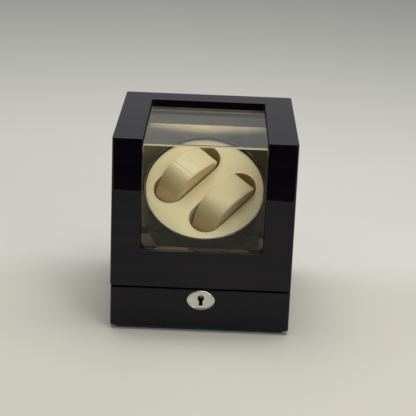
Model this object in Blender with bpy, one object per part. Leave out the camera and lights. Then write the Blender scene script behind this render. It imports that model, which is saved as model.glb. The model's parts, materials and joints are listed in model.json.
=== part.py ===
"""Watch winder box: lacquered lid with an L-shaped window, locking base and a tilted, belt-driven drum.

Frame: metres, +Z up, front towards -Y. The origin is under the middle of the box, where it stands.
"""

import math

import bmesh
import bpy
from mathutils import Matrix, Vector

MM = 0.001

# THROUGH is how far a cutter passes the face it opens, and FIT the usual gap between two pieces.

# Case
BOX_W = 170.0 * MM
BOX_D = 180.7 * MM
BOX_H = 183.6 * MM
FELT = 4.2 * MM
FELT_INSET = 5.0 * MM
WALL = 12.5 * MM
CORNER_R = 2.5 * MM
FELT_CORNER_R = 3.0 * MM
SEAM_H = 39.3 * MM
SEAM_GAP = 1.6 * MM
BASE_SET_IN = 0.6 * MM
FIT = 0.3 * MM
THROUGH = 1.0 * MM
ESCUTCHEON_REACH = 1.2 * MM
HINGE_AXIS_BACK = 0.8 * MM
KNUCKLE_R = 2.2 * MM
FRONT_Y = -(BOX_D + HINGE_AXIS_BACK + KNUCKLE_R + ESCUTCHEON_REACH) / 2 + ESCUTCHEON_REACH
REAR_Y = FRONT_Y + BOX_D

# Window
WINDOW_HALF_W = 57.1 * MM
WINDOW_LOW = 76.2 * MM
WINDOW_REAR = 151.5 * MM
WINDOW_CORNER_R = 5.0 * MM
WINDOW_REAR_R = 2.0 * MM
WINDOW_OPEN = 20.0 * MM
PANE = 2.4 * MM
PANE_GAP = 0.2 * MM
PANE_JOINT = 0.15 * MM
FRONT_PANE_SET = 3.0 * MM
TOP_PANE_SET = 5.3 * MM

# Inside of the base
BOARD = 5.0 * MM
DECK_TOP = 33.0 * MM
DECK = 3.0 * MM
LEDGE_H = 6.0 * MM
LEDGE_W = 6.0 * MM
LINING = 1.5 * MM
LINING_UP = 1.0 * MM
LINING_DOWN = 1.5 * MM
CABLE_HOLE = (36.0 * MM, 151.0 * MM)
CABLE_HOLE_R = 3.5 * MM
CABLE_R = 1.1 * MM
CABLE_GAP = 0.4 * MM

# Drum, in its own frame: Z along the spin axis, origin in the middle of the face
DRUM_BACK_FROM_FRONT = 80.0 * MM
DRUM_UP = 113.7 * MM
DRUM_TILT = math.radians(40.0)
DRUM_R = 60.4 * MM
DRUM_WALL = 2.4 * MM
DRUM_DEPTH = 46.0 * MM
LIP = 3.0 * MM
FACE = 3.0 * MM
SLOT_TURN = math.radians(49.0)
SLOT_OFFSET = 24.0 * MM
SLOT_HALF_SPAN = 24.5 * MM
SLOT_R = 16.1 * MM
LINER_WALL = 1.0 * MM
LINER_FLANGE = 1.6 * MM
LINER_DEPTH = 29.5 * MM
LINER_RISE = 0.8 * MM

# Cushions, in the slot's frame: X along the slot, Y across it, Z out of the face
PILLOW_LOW_SIDE = -14.9 * MM
PILLOW_HIGH_SIDE = 14.0 * MM
PILLOW_NOSE_R = 15.0 * MM
PILLOW_REACH = 45.0 * MM
UPPER_PILLOW_TIP = 29.4
LOWER_PILLOW_TIP = 31.4
LOWER_PILLOW_TURN = math.radians(9.0)
LOWER_PILLOW_SINK = 3.0 * MM

# Drive, in the drum's frame
BRACKET_H = -54.0 * MM
BRACKET = 2.0 * MM
PULLEY_R = 24.0 * MM
PULLEY_NEAR = -46.6 * MM
PULLEY_FAR = -52.6 * MM
BELT_H = (PULLEY_NEAR + PULLEY_FAR) / 2
BELT_R = 0.8 * MM
BELT_SIDES = 6
MOTOR_X = 38.0 * MM
MOTOR_Y = 6.0 * MM
MOTOR_PULLEY_R = 5.0 * MM
SHAFT_R = 3.0 * MM
SHAFT_GAP = 0.1 * MM
SHAFT_BEYOND = 14.0 * MM
SHAFT_NUT_UP = 5.5 * MM
SHAFT_NUT_R = 5.0 * MM
SHAFT_NUT = 2.5 * MM
BUSH_R = 5.7 * MM
BUSH_FLANGE_R = 7.5 * MM
BUSH_FLANGE = 0.8 * MM
BUSH_BEYOND = 5.0 * MM
BUSH_BORE_R = SHAFT_R + 0.08 * MM
CLIP_R = 5.5 * MM
CLIP = 1.2 * MM
MOTOR_SHAFT_R = 1.5 * MM
GEARBOX_HALF = 15.0 * MM
CAN_R = 11.0 * MM
CAN_BOSS_R = 4.0 * MM
BRACKET_LEFT = -32.0 * MM
BRACKET_RIGHT = 56.0 * MM
RIB_TOP = -8.0 * MM
GEARBOX_BOSS_R = 4.1 * MM
GEARBOX_SCREW_OUT = 11.0 * MM
GEARBOX_H = 12.0 * MM
CAN_H = 22.0 * MM
CAN_BOSS = 2.0 * MM
BRACKET_SCREWS = ((-22.0 * MM, 88.0 * MM), (24.0 * MM, 88.0 * MM))
BRACKET_SCREW = 5.0 * MM
BRACKET_HEAD_R = 1.8 * MM
BRACKET_HEEL = 96.0 * MM
BRACKET_REACH = 20.0 * MM

# Hinges
HINGE_X = 48.0 * MM
HINGE_HALF = 15.0 * MM
LEAF = 1.0 * MM
LEAF_DEPTH = 10.0 * MM
LEAF_SET = 0.35 * MM
PIN_R = 1.0 * MM
BORE_R = 1.1 * MM
TAB_END = 1.25 * MM
KNUCKLE_HALF = 5.5 * MM
KNUCKLE_GAP = 0.4 * MM
LEAF_GAP = 0.25 * MM
SCREW = 9.0 * MM
SCREW_HEAD_R = 2.0 * MM
SCREW_X = 9.0 * MM
SCREW_BACK = 5.6 * MM
SHANK = 0.48

# Lock
LOCK_X = 1.0 * MM
PLATE_HALF_W = 13.3 * MM
PLATE_HALF_H = 9.65 * MM
PLATE_UP = 28.5 * MM
PLATE_GAP = 0.25 * MM
PLATE_SEAT = 0.3 * MM
PLATE_STEPS = 32
KEYHOLE_UP = 30.6 * MM
KEYHOLE_R = 3.05 * MM
KEY_SLOT_HALF = 1.75 * MM
KEY_SLOT_LOW = 23.3 * MM
CASE_HALF = 18.0 * MM
CASE_NEAR = 4.9 * MM
CASE_FAR = 11.4 * MM
CASE_LOW = 14.5 * MM
CASE_TOP = 38.4 * MM
CASE_WALL = 1.0 * MM
STAPLE_X = 9.0 * MM
STAPLE_Y = 8.7 * MM
STAPLE_HALF = 2.0 * MM
STAPLE_HALF_THICK = 0.6 * MM
STAPLE_LOW = 31.0 * MM
EYE_LOW = 32.6 * MM
EYE_TOP = 36.0 * MM
MOUTH_GAP = 0.4 * MM
COVER = 0.7 * MM
COVER_GAP = 0.2 * MM
POST_R = 1.1 * MM
POST_LENGTH = 7.6 * MM
BOLT_HALF_THICK = 0.9 * MM
BOLT_UP = 21.5 * MM
STRIKE_HALF = 15.5 * MM
STRIKE_DEEP = 12.5 * MM
STRIKE_TOP = SEAM_H + SEAM_GAP / 2 + 0.05 * MM
STRIKE_SCREW_X = 12.9 * MM
STRIKE_HEAD_R = 1.6 * MM

# Side view of the sliding bolt with its two hooks: millimetres from the lock's middle and over the underside
BOLT_OUTLINE = (
    (-15.2, 16.6),
    (11.0, 16.6),
    (11.0, 20.0),
    (4.9, 20.0),
    (4.9, 33.2),
    (7.9, 33.2),
    (7.9, 35.4),
    (3.1, 35.4),
    (3.1, 22.0),
    (-13.2, 22.0),
    (-13.2, 33.2),
    (-10.1, 33.2),
    (-10.1, 35.4),
    (-15.2, 35.4),
)

# Controls at the rear
CONTROLS_X = 30.0 * MM
CONTROLS_HALF = 21.0 * MM
CONTROLS_LOW = 9.0 * MM
CONTROLS_TOP = 25.5 * MM
CONTROLS_MID = (CONTROLS_LOW + CONTROLS_TOP) / 2
JACK_X = CONTROLS_X + 11.0 * MM
KNOB_X = CONTROLS_X - 9.0 * MM
CONTROLS_CORNER_R = 3.0 * MM
CONTROL_PLATE = 2.0 * MM
CONTROL_PLATE_HALF = 26.0 * MM
JACK_HALF = 6.0 * MM
JACK_DEPTH = 10.0 * MM
JACK_BUSH_R = 4.0 * MM
JACK_HOLE_R = 2.8 * MM
JACK_PIN_R = 0.9 * MM
JACK_PROUD = 3.2 * MM
SWITCH_HALF = 7.0 * MM
SWITCH_DEPTH = 8.0 * MM
KNOB_R = 6.6 * MM
KNOB_FLUTE = 0.4 * MM
KNOB_SHAFT_R = 2.3 * MM
KNOB_GAP = 1.2 * MM
KNOB_END = 11.5 * MM
MARK_HALF = 0.5 * MM

# Control board: each component is (x, distance behind the front, width, depth, height), in millimetres
BOARD_UP = 3.4 * MM
BOARD_THICK = 1.6 * MM
BOARD_LEFT = 2.0 * MM
BOARD_RIGHT = 50.0 * MM
BOARD_NEAR = 112.0 * MM
BOARD_FAR = 146.0 * MM
COMPONENTS = (
    (10, 118, 12, 10, 2.5),
    (38, 120, 8, 14, 6.0),
    (25, 136, 9, 6, 6.5),
    (42, 136, 9, 6, 6.5),
    (12, 134, 8, 8, 4.0),
)

HINGE_Y = REAR_Y + HINGE_AXIS_BACK
SEAM_Z = FELT + SEAM_H
INNER_HALF_W = BOX_W / 2 - WALL


def behind(distance):
    """Y of a point this far behind the front face."""
    return FRONT_Y + distance


def above(height):
    """Z of a point this high over the underside of the case."""
    return FELT + height


# Outlines, as lists of (a, b) in the plane of the shape


def arc(centre, radius, start, end, steps):
    turn = (end - start) / steps
    return [
        (
            centre[0] + radius * math.cos(start + turn * step),
            centre[1] + radius * math.sin(start + turn * step),
        )
        for step in range(steps + 1)
    ]


def circle(radius, steps):
    return arc((0, 0), radius, 0, math.tau, steps)[:-1]


def oval(half_w, half_h, steps):
    return [(half_w * x, half_h * y) for x, y in circle(1.0, steps)]


def rounded_box(low, high, radius, steps=3):
    corners = [
        (high[0] - radius, high[1] - radius),
        (low[0] + radius, high[1] - radius),
        (low[0] + radius, low[1] + radius),
        (high[0] - radius, low[1] + radius),
    ]
    points = []
    for quarter, corner in enumerate(corners):
        start = quarter * math.pi / 2
        points += arc(corner, radius, start, start + math.pi / 2, steps)
    return points


def round_ended(half_w, square_end, round_end, radius, steps=4):
    """A rectangle whose two corners at one end are rounded."""
    lower = arc((-half_w + radius, radius), radius, math.pi, 3 * math.pi / 2, steps)
    lower += arc((half_w - radius, radius), radius, 3 * math.pi / 2, math.tau, steps)
    length = abs(square_end - round_end)
    outline = [*lower, (half_w, length), (-half_w, length)]
    way = math.copysign(1, square_end - round_end)
    return [(a, round_end + way * b) for a, b in outline]


def obround(half_span, radius, steps=10):
    right = arc((half_span, 0), radius, -math.pi / 2, math.pi / 2, steps)
    left = arc((-half_span, 0), radius, math.pi / 2, 3 * math.pi / 2, steps)
    return right + left


def keyhole():
    """A round hole over a narrow slot, centred on the lock."""
    turn = math.asin(KEY_SLOT_HALF / KEYHOLE_R)
    start = -math.pi / 2 + turn
    end = start + math.tau - 2 * turn
    round_part = arc((LOCK_X, above(KEYHOLE_UP)), KEYHOLE_R, start, end, 14)
    low = above(KEY_SLOT_LOW)
    return round_part + [(LOCK_X - KEY_SLOT_HALF, low), (LOCK_X + KEY_SLOT_HALF, low)]


def bezier(start, lean_out, lean_in, end, steps):
    points = []
    for step in range(1, steps + 1):
        t = step / steps
        weights = ((1 - t) ** 3, 3 * t * (1 - t) ** 2, 3 * t * t * (1 - t), t**3)
        corners = (start, lean_out, lean_in, end)
        points.append(tuple(sum(w * c[k] for w, c in zip(weights, corners)) for k in (0, 1)))
    return points


# Solids


def on_axis(a, b, t, axis):
    return {"Z": (a, b, t), "Y": (a, t, b), "X": (t, a, b)}[axis]


def finish_mesh(bm):
    bmesh.ops.recalc_face_normals(bm, faces=bm.faces)
    return bm


def prism(outline, low, high, axis="Z"):
    bm = bmesh.new()
    rings = [[bm.verts.new(on_axis(a, b, t, axis)) for a, b in outline] for t in (low, high)]
    bm.faces.new(rings[0])
    bm.faces.new(rings[1])
    for index in range(len(outline)):
        after = (index + 1) % len(outline)
        bm.faces.new((rings[0][index], rings[0][after], rings[1][after], rings[1][index]))
    return finish_mesh(bm)


def box(low, high):
    corners = [(low[0], low[1]), (high[0], low[1]), (high[0], high[1]), (low[0], high[1])]
    return prism(corners, low[2], high[2])


def lathe(profile, steps, closed=False):
    """Turns (radius, height) points about Z. An open profile starts and ends on the axis."""
    bm = bmesh.new()
    rings = []
    for radius, height in profile:
        if radius == 0:
            rings.append([bm.verts.new((0, 0, height))])
        else:
            rings.append([bm.verts.new((x, y, height)) for x, y in circle(radius, steps)])
    pairs = list(zip(rings, rings[1:]))
    if closed:
        pairs.append((rings[-1], rings[0]))
    for one, other in pairs:
        for index in range(steps):
            after = (index + 1) % steps
            if len(one) == 1:
                bm.faces.new((one[0], other[index], other[after]))
            elif len(other) == 1:
                bm.faces.new((one[index], one[after], other[0]))
            else:
                bm.faces.new((one[index], one[after], other[after], other[index]))
    return finish_mesh(bm)


def cylinder(radius, low, high, steps=16, axis="Z", centre=(0, 0)):
    outline = [(centre[0] + a, centre[1] + b) for a, b in circle(radius, steps)]
    return prism(outline, low, high, axis)


def merged(*meshes):
    """One mesh that holds several closed shapes, for a cutter."""
    bm = bmesh.new()
    for piece in meshes:
        data = bpy.data.meshes.new("merged")
        piece.to_mesh(data)
        piece.free()
        bm.from_mesh(data)
        bpy.data.meshes.remove(data)
    return bm


# Objects


def material(name, colour, roughness, metallic=0.0, alpha=1.0):
    made = bpy.data.materials.new(name)
    made.use_nodes = True
    shader = made.node_tree.nodes["Principled BSDF"]
    shader.inputs["Base Color"].default_value = (*colour, 1.0)
    shader.inputs["Roughness"].default_value = roughness
    shader.inputs["Metallic"].default_value = metallic
    shader.inputs["Alpha"].default_value = alpha
    return made


def frame(name, location, turn_x=0.0, turn_z=0.0, parent=None):
    made = bpy.data.objects.new(name, None)
    made.location = location
    made.rotation_euler = (turn_x, 0.0, turn_z)
    made.parent = parent
    bpy.context.scene.collection.objects.link(made)
    return made


def add(name, bm, finish=None, local_to=None, rides=None, smooth=True):
    """Makes an object. Its points are in world space, or in the frame it is local to."""
    mesh = bpy.data.meshes.new(name)
    bm.to_mesh(mesh)
    bm.free()
    if smooth:
        mesh.shade_smooth()
        mesh.set_sharp_from_angle(angle=math.radians(35))
    if finish:
        mesh.materials.append(finish)
    made = bpy.data.objects.new(name, mesh)
    bpy.context.scene.collection.objects.link(made)
    if local_to:
        made.parent = local_to
    if rides:
        made.parent = rides
        made.matrix_parent_inverse = Matrix.Translation(-Vector(rides.location))
    return made


def shaped(target, bm, operation="DIFFERENCE", local_to=None):
    """Cuts a shape from an object, or joins one to it."""
    tool = add(f"{target.name}_{operation.lower()}_{len(target.modifiers)}", bm, smooth=False)
    tool.hide_render = True
    tool.display_type = "WIRE"
    if local_to:
        tool.parent = local_to
    modifier = target.modifiers.new(tool.name, "BOOLEAN")
    modifier.operation = operation
    modifier.solver = "EXACT"
    modifier.object = tool
    return target


def softened(target, width, segments):
    modifier = target.modifiers.new("edges", "BEVEL")
    modifier.width = width
    modifier.segments = segments
    modifier.limit_method = "ANGLE"
    modifier.angle_limit = math.radians(40)
    return target


def countersunk(x, y, top, length, up=1, radius=SCREW_HEAD_R):
    """A countersunk wood screw whose head lies flush at top, its point away from it."""
    thin = radius * SHANK
    dimple = -0.35 * MM
    profile = [
        (0, dimple),
        (radius * 0.3, dimple),
        (radius * 0.45, 0),
        (radius, 0),
        (thin, -(radius - thin)),
        (thin, -length * 0.8),
        (0, -length),
    ]
    bm = lathe(profile, 10)
    if up < 0:
        bmesh.ops.rotate(bm, cent=(0, 0, 0), matrix=Matrix.Rotation(math.pi, 3, "X"), verts=bm.verts)
    bmesh.ops.translate(bm, vec=(x, y, top), verts=bm.verts)
    return bm


def screw_hole(x, y, top, length, up=1, radius=SCREW_HEAD_R):
    """The countersink and pilot hole for such a screw, with clearance all round."""
    gap = 0.15 * MM
    seat = -0.05 * MM
    thin = radius * SHANK + gap
    wide = radius + gap
    profile = [
        (0, THROUGH),
        (wide, THROUGH),
        (wide, seat),
        (thin, seat - radius * (1 - SHANK)),
        (thin, -length - FIT),
        (0, -length - FIT),
    ]
    bm = lathe(profile, 10)
    if up < 0:
        bmesh.ops.rotate(bm, cent=(0, 0, 0), matrix=Matrix.Rotation(math.pi, 3, "X"), verts=bm.verts)
    bmesh.ops.translate(bm, vec=(x, y, top), verts=bm.verts)
    return bm


def hinge_screw_places(side):
    return [(side * HINGE_X + offset, REAR_Y - SCREW_BACK) for offset in (-SCREW_X, SCREW_X)]


def hinge_screw_holes(up):
    """Pilot holes in one rim, for the leaf above the seam (up = 1) or under it (up = -1)."""
    places = hinge_screw_places(-1) + hinge_screw_places(1)
    return [screw_hole(x, y, SEAM_Z + up * LEAF_SET, SCREW, -up) for x, y in places]


def hinge_room():
    """What the two hinges take out of the rims: leaf mortises and grooves for the barrels."""
    pieces = []
    depth = LEAF_SET + LEAF + LEAF_GAP
    for side in (-1, 1):
        low = (side * HINGE_X - HINGE_HALF - FIT, REAR_Y - LEAF_DEPTH - FIT, SEAM_Z - depth)
        high = (side * HINGE_X + HINGE_HALF + FIT, REAR_Y + THROUGH, SEAM_Z + depth)
        pieces.append(box(low, high))
    return merged(*pieces)


def barrel_room():
    pieces = []
    for side in (-1, 1):
        low = side * HINGE_X - HINGE_HALF - FIT
        high = side * HINGE_X + HINGE_HALF + FIT
        pieces.append(cylinder(KNUCKLE_R + KNUCKLE_GAP, low, high, 20, "X", (HINGE_Y, SEAM_Z)))
    return merged(*pieces)


def make_lid(lid, wood, lining, acrylic, steel):
    low = above(SEAM_H) + SEAM_GAP / 2
    top = above(BOX_H)
    outline = rounded_box((-BOX_W / 2, FRONT_Y), (BOX_W / 2, REAR_Y), CORNER_R, 3)
    shell = add("lid_shell", prism(outline, low, top), wood, rides=lid)
    inside_low = (-INNER_HALF_W, FRONT_Y + WALL, low - THROUGH)
    shaped(shell, box(inside_low, (INNER_HALF_W, REAR_Y - WALL, top - WALL)))
    sill = above(WINDOW_LOW)
    window_top = top + WINDOW_OPEN
    front_cut = rounded_box((-WINDOW_HALF_W, sill), (WINDOW_HALF_W, window_top), WINDOW_CORNER_R, 4)
    shaped(shell, prism(front_cut, FRONT_Y - THROUGH, FRONT_Y + WALL + THROUGH, "Y"))
    window_near = FRONT_Y - WINDOW_OPEN
    window_far = behind(WINDOW_REAR)
    top_cut = rounded_box((-WINDOW_HALF_W, window_near), (WINDOW_HALF_W, window_far), WINDOW_REAR_R, 2)
    shaped(shell, prism(top_cut, top - WALL - THROUGH, top + THROUGH))
    softened(shell, 1.0 * MM, 3)
    shaped(shell, hinge_room())
    shaped(shell, barrel_room())
    mortise_low = (LOCK_X - STRIKE_HALF - FIT, behind(CASE_NEAR) - FIT, low - THROUGH)
    mortise_top = above(STRIKE_TOP + LEAF + FIT)
    mortise_high = (LOCK_X + STRIKE_HALF + FIT, behind(STRIKE_DEEP) + FIT, mortise_top)
    shaped(shell, box(mortise_low, mortise_high))
    holes = hinge_screw_holes(1)
    for side in (-1, 1):
        place = (LOCK_X + side * STRIKE_SCREW_X, behind(STAPLE_Y), above(STRIKE_TOP))
        holes.append(screw_hole(*place, SCREW, -1, STRIKE_HEAD_R))
    shaped(shell, merged(*holes))

    make_window(lid, acrylic)
    make_lining(lid, lining, low)
    make_strike(lid, steel)


def make_window(lid, acrylic):
    """Two sheets that meet at the front top edge of the lid."""
    half = WINDOW_HALF_W - PANE_GAP
    pane_top = above(BOX_H - TOP_PANE_SET)
    near = behind(FRONT_PANE_SET)
    front = round_ended(half, pane_top, above(WINDOW_LOW) + PANE_GAP, WINDOW_CORNER_R)
    add("window_front_pane", prism(front, near, near + PANE, "Y"), acrylic, rides=lid, smooth=False)
    joint = near + PANE + PANE_JOINT
    flat = round_ended(half, joint, behind(WINDOW_REAR) - PANE_GAP, WINDOW_REAR_R, 2)
    sheet = prism(flat, pane_top - PANE, pane_top)
    add("window_top_pane", sheet, acrylic, rides=lid, smooth=False)


def make_lining(lid, lining, lid_low):
    """Four velvet-covered cards inside the lid's walls."""
    top = above(BOX_H) - WALL - FIT
    low = lid_low + LINING_UP
    near = FRONT_Y + WALL + FIT
    far = REAR_Y - WALL - FIT
    wide = INNER_HALF_W - FIT
    inner = wide - LINING - FIT
    front_top = above(WINDOW_LOW) - LINING_DOWN
    cards = {
        "lid_lining_left": ((-wide, near, low), (-wide + LINING, far, top)),
        "lid_lining_right": ((wide - LINING, near, low), (wide, far, top)),
        "lid_lining_rear": ((-inner, far - LINING, low), (inner, far, top)),
        "lid_lining_front": ((-inner, near, low), (inner, near + LINING, front_top)),
    }
    for name, (corner, opposite) in cards.items():
        add(name, box(corner, opposite), lining, rides=lid, smooth=False)


def make_strike(lid, steel):
    """Plate under the lid's front rim, with two staples that drop into the lock."""
    low = above(STRIKE_TOP)
    near = behind(CASE_NEAR)
    plate = box((LOCK_X - STRIKE_HALF, near, low), (LOCK_X + STRIKE_HALF, behind(STRIKE_DEEP), low + LEAF))
    strike = add("lock_strike_plate", plate, steel, rides=lid, smooth=False)
    middle = behind(STAPLE_Y)
    eye_half = STAPLE_HALF * 0.6
    for side in (-1, 1):
        x = LOCK_X + side * STAPLE_X
        staple_low = (x - STAPLE_HALF_THICK, middle - STAPLE_HALF, above(STAPLE_LOW))
        staple_high = (x + STAPLE_HALF_THICK, middle + STAPLE_HALF, low + LEAF / 2)
        shaped(strike, box(staple_low, staple_high), "UNION")
        eye_low = (x - THROUGH, middle - eye_half, above(EYE_LOW))
        shaped(strike, box(eye_low, (x + THROUGH, middle + eye_half, above(EYE_TOP))))
    for name, side in (("left", -1), ("right", 1)):
        place = (LOCK_X + side * STRIKE_SCREW_X, middle, low)
        shaped(strike, screw_hole(*place, SCREW, -1, STRIKE_HEAD_R))
        screw = countersunk(*place, SCREW, -1, STRIKE_HEAD_R)
        add(f"strike_screw_{name}", screw, steel, rides=lid)


def make_base(wood, lining, felt, board_wood):
    low = above(0)
    top = above(SEAM_H) - SEAM_GAP / 2
    left = -BOX_W / 2 + BASE_SET_IN
    outline = rounded_box((left, FRONT_Y), (BOX_W / 2, REAR_Y), CORNER_R, 3)
    shell = add("base_shell", prism(outline, low, top), wood)
    inside_low = (-INNER_HALF_W, FRONT_Y + WALL, low - THROUGH)
    shaped(shell, box(inside_low, (INNER_HALF_W, REAR_Y - WALL, top + THROUGH)))
    softened(shell, 0.8 * MM, 2)
    shaped(shell, hinge_room())
    shaped(shell, barrel_room())
    pocket_low = (LOCK_X - CASE_HALF - FIT, behind(CASE_NEAR) - FIT, above(CASE_LOW) - FIT)
    shaped(shell, box(pocket_low, (LOCK_X + CASE_HALF + FIT, behind(WALL) + THROUGH, top + THROUGH)))
    seat = oval(PLATE_HALF_W + PLATE_GAP, PLATE_HALF_H + PLATE_GAP, PLATE_STEPS)
    plate_room = [(LOCK_X + x, above(PLATE_UP) + z) for x, z in seat]
    shaped(shell, prism(plate_room, FRONT_Y - THROUGH, FRONT_Y + PLATE_SEAT + FIT, "Y"))
    shaped(shell, prism(keyhole(), FRONT_Y - THROUGH, behind(CASE_NEAR), "Y"))
    opening_low = (CONTROLS_X - CONTROLS_HALF, above(CONTROLS_LOW))
    opening_high = (CONTROLS_X + CONTROLS_HALF, above(CONTROLS_TOP))
    opening = rounded_box(opening_low, opening_high, CONTROLS_CORNER_R)
    shaped(shell, prism(opening, REAR_Y - WALL - THROUGH, REAR_Y + THROUGH, "Y"))
    shaped(shell, merged(*hinge_screw_holes(-1)))
    pad_low = (left + FELT_INSET, FRONT_Y + FELT_INSET)
    pad = rounded_box(pad_low, (BOX_W / 2 - FELT_INSET, REAR_Y - FELT_INSET), FELT_CORNER_R)
    add("bottom_felt", prism(pad, 0, FELT - FIT), felt)
    make_floors(lining, board_wood)


def make_floors(lining, board_wood):
    """Bottom board, and over it the velvet-covered deck on its ledge."""
    near = FRONT_Y + WALL + FIT
    far = REAR_Y - WALL - FIT
    wide = INNER_HALF_W - FIT
    add("bottom_board", box((-wide, near, above(0)), (wide, far, above(BOARD))), board_wood, smooth=False)
    deck_low = above(DECK_TOP - DECK)
    deck_top = above(DECK_TOP)
    deck = add("deck_board", box((-wide, near, deck_low), (wide, far, deck_top)), lining, smooth=False)
    hole = cylinder(CABLE_HOLE_R, deck_low - THROUGH, deck_top + THROUGH, 16)
    bmesh.ops.translate(hole, vec=(CABLE_HOLE[0], behind(CABLE_HOLE[1]), 0), verts=hole.verts)
    shaped(deck, merged(hole, *bracket_screw_holes()))
    ledge = rounded_box((-wide, near), (wide, far), 1 * MM)
    ledge_top = deck_low - FIT
    rim = add("deck_ledge", prism(ledge, ledge_top - LEDGE_H, ledge_top), board_wood, smooth=False)
    hollow_low = (-wide + LEDGE_W, near + LEDGE_W, above(BOARD))
    shaped(rim, box(hollow_low, (wide - LEDGE_W, far - LEDGE_W, deck_top)))
    half = CONTROL_PLATE_HALF + THROUGH
    gap_low = (CONTROLS_X - half, far - LEDGE_W - THROUGH, above(BOARD))
    shaped(rim, box(gap_low, (CONTROLS_X + half, far + THROUGH, deck_top)))


def make_hinge(name, side, lid, brass):
    """Butt hinge on the rear rims. Two outer knuckles belong to the base and the middle one to the lid."""
    centre = side * HINGE_X
    spans = {
        -1: [(-HINGE_HALF, -KNUCKLE_HALF - FIT), (KNUCKLE_HALF + FIT, HINGE_HALF)],
        1: [(-KNUCKLE_HALF, KNUCKLE_HALF)],
    }
    for up, label, rides in ((-1, "base", None), (1, "lid", lid)):
        levels = sorted((SEAM_Z + up * LEAF_SET, SEAM_Z + up * (LEAF_SET + LEAF)))
        far = HINGE_Y - KNUCKLE_R - KNUCKLE_GAP
        plate_low = (centre - HINGE_HALF, REAR_Y - LEAF_DEPTH, levels[0])
        plate = box(plate_low, (centre + HINGE_HALF, far, levels[1]))
        leaf = add(f"hinge_{name}_{label}_leaf", plate, brass, rides=rides)
        for low, high in spans[up]:
            tab_low = (centre + low, far - THROUGH, levels[0])
            shaped(leaf, box(tab_low, (centre + high, HINGE_Y - TAB_END, levels[1])), "UNION")
            tube = cylinder(KNUCKLE_R, centre + low, centre + high, 16, "X", (HINGE_Y, SEAM_Z))
            shaped(leaf, tube, "UNION")
        half = HINGE_HALF + THROUGH
        bore = cylinder(BORE_R, centre - half, centre + half, 16, "X", (HINGE_Y, SEAM_Z))
        shaped(leaf, bore)
        top = SEAM_Z + up * LEAF_SET
        for number, (x, y) in enumerate(hinge_screw_places(side), 1):
            shaped(leaf, screw_hole(x, y, top, SCREW, -up))
            screw = countersunk(x, y, top, SCREW, -up)
            add(f"hinge_{name}_{label}_screw_{number}", screw, brass, rides=rides)
    pin = cylinder(PIN_R, centre - HINGE_HALF, centre + HINGE_HALF, 16, "X", (HINGE_Y, SEAM_Z))
    add(f"hinge_{name}_pin", pin, brass)


def make_lock(steel, bright):
    near = FRONT_Y - ESCUTCHEON_REACH
    back = FRONT_Y + PLATE_SEAT
    bm = bmesh.new()
    shoulder, field = FRONT_Y - 0.4 * MM, near + 0.25 * MM
    sections = [(1.0, back), (1.0, shoulder), (0.93, near), (0.86, near), (0.83, field)]
    rings = []
    for share, y in sections:
        half_w = PLATE_HALF_W - (1 - share) * PLATE_HALF_H
        ring = oval(half_w, PLATE_HALF_H * share, PLATE_STEPS)
        rings.append([bm.verts.new((LOCK_X + x, y, above(PLATE_UP) + z)) for x, z in ring])
    for one, other in zip(rings, rings[1:]):
        for index in range(PLATE_STEPS):
            after = (index + 1) % PLATE_STEPS
            bm.faces.new((one[index], one[after], other[after], other[index]))
    bm.faces.new(rings[0])
    bm.faces.new(rings[-1])
    plate = add("escutcheon", finish_mesh(bm), bright)
    shaped(plate, prism(keyhole(), near - THROUGH, back + THROUGH, "Y"))

    low = (LOCK_X - CASE_HALF, behind(CASE_NEAR), above(CASE_LOW))
    high = (LOCK_X + CASE_HALF, behind(CASE_FAR), above(CASE_TOP))
    case = add("lock_case", box(low, high), steel, smooth=False)
    room_low = [c + CASE_WALL for c in low]
    room_high = (high[0] - CASE_WALL, high[1] + THROUGH, high[2] - CASE_WALL)
    shaped(case, box(room_low, room_high))
    mouths = [prism(keyhole(), low[1] - THROUGH, low[1] + CASE_WALL * 1.5, "Y")]
    middle = behind(STAPLE_Y)
    mouth_half = STAPLE_HALF_THICK + MOUTH_GAP
    mouth_deep = STAPLE_HALF + MOUTH_GAP
    for side in (-1, 1):
        x = LOCK_X + side * STAPLE_X
        mouth_low = (x - mouth_half, middle - mouth_deep, high[2] - CASE_WALL - THROUGH)
        mouths.append(box(mouth_low, (x + mouth_half, middle + mouth_deep, high[2] + THROUGH)))
    shaped(case, merged(*mouths))
    cover_low = (low[0], high[1] + COVER_GAP, low[2])
    add("lock_cover", box(cover_low, (high[0], cover_low[1] + COVER, high[2])), steel, smooth=False)
    tip = CASE_FAR - POST_LENGTH
    chamfer = POST_R * 0.36
    profile = [(0, tip), (POST_R - chamfer, tip), (POST_R, tip + chamfer), (POST_R, CASE_FAR), (0, CASE_FAR)]
    post = lathe(profile, 12)
    bmesh.ops.rotate(post, cent=(0, 0, 0), matrix=Matrix.Rotation(-math.pi / 2, 3, "X"), verts=post.verts)
    bmesh.ops.translate(post, vec=(LOCK_X, FRONT_Y, above(KEYHOLE_UP)), verts=post.verts)
    add("lock_pin_post", post, steel)

    rest = frame("lock_bolt_slide", (LOCK_X, middle, above(BOLT_UP)))
    points = [(LOCK_X + x * MM, above(z * MM)) for x, z in BOLT_OUTLINE]
    bolt = prism(points, middle - BOLT_HALF_THICK, middle + BOLT_HALF_THICK, "Y")
    add("lock_bolt", bolt, steel, rides=rest, smooth=False)


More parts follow.
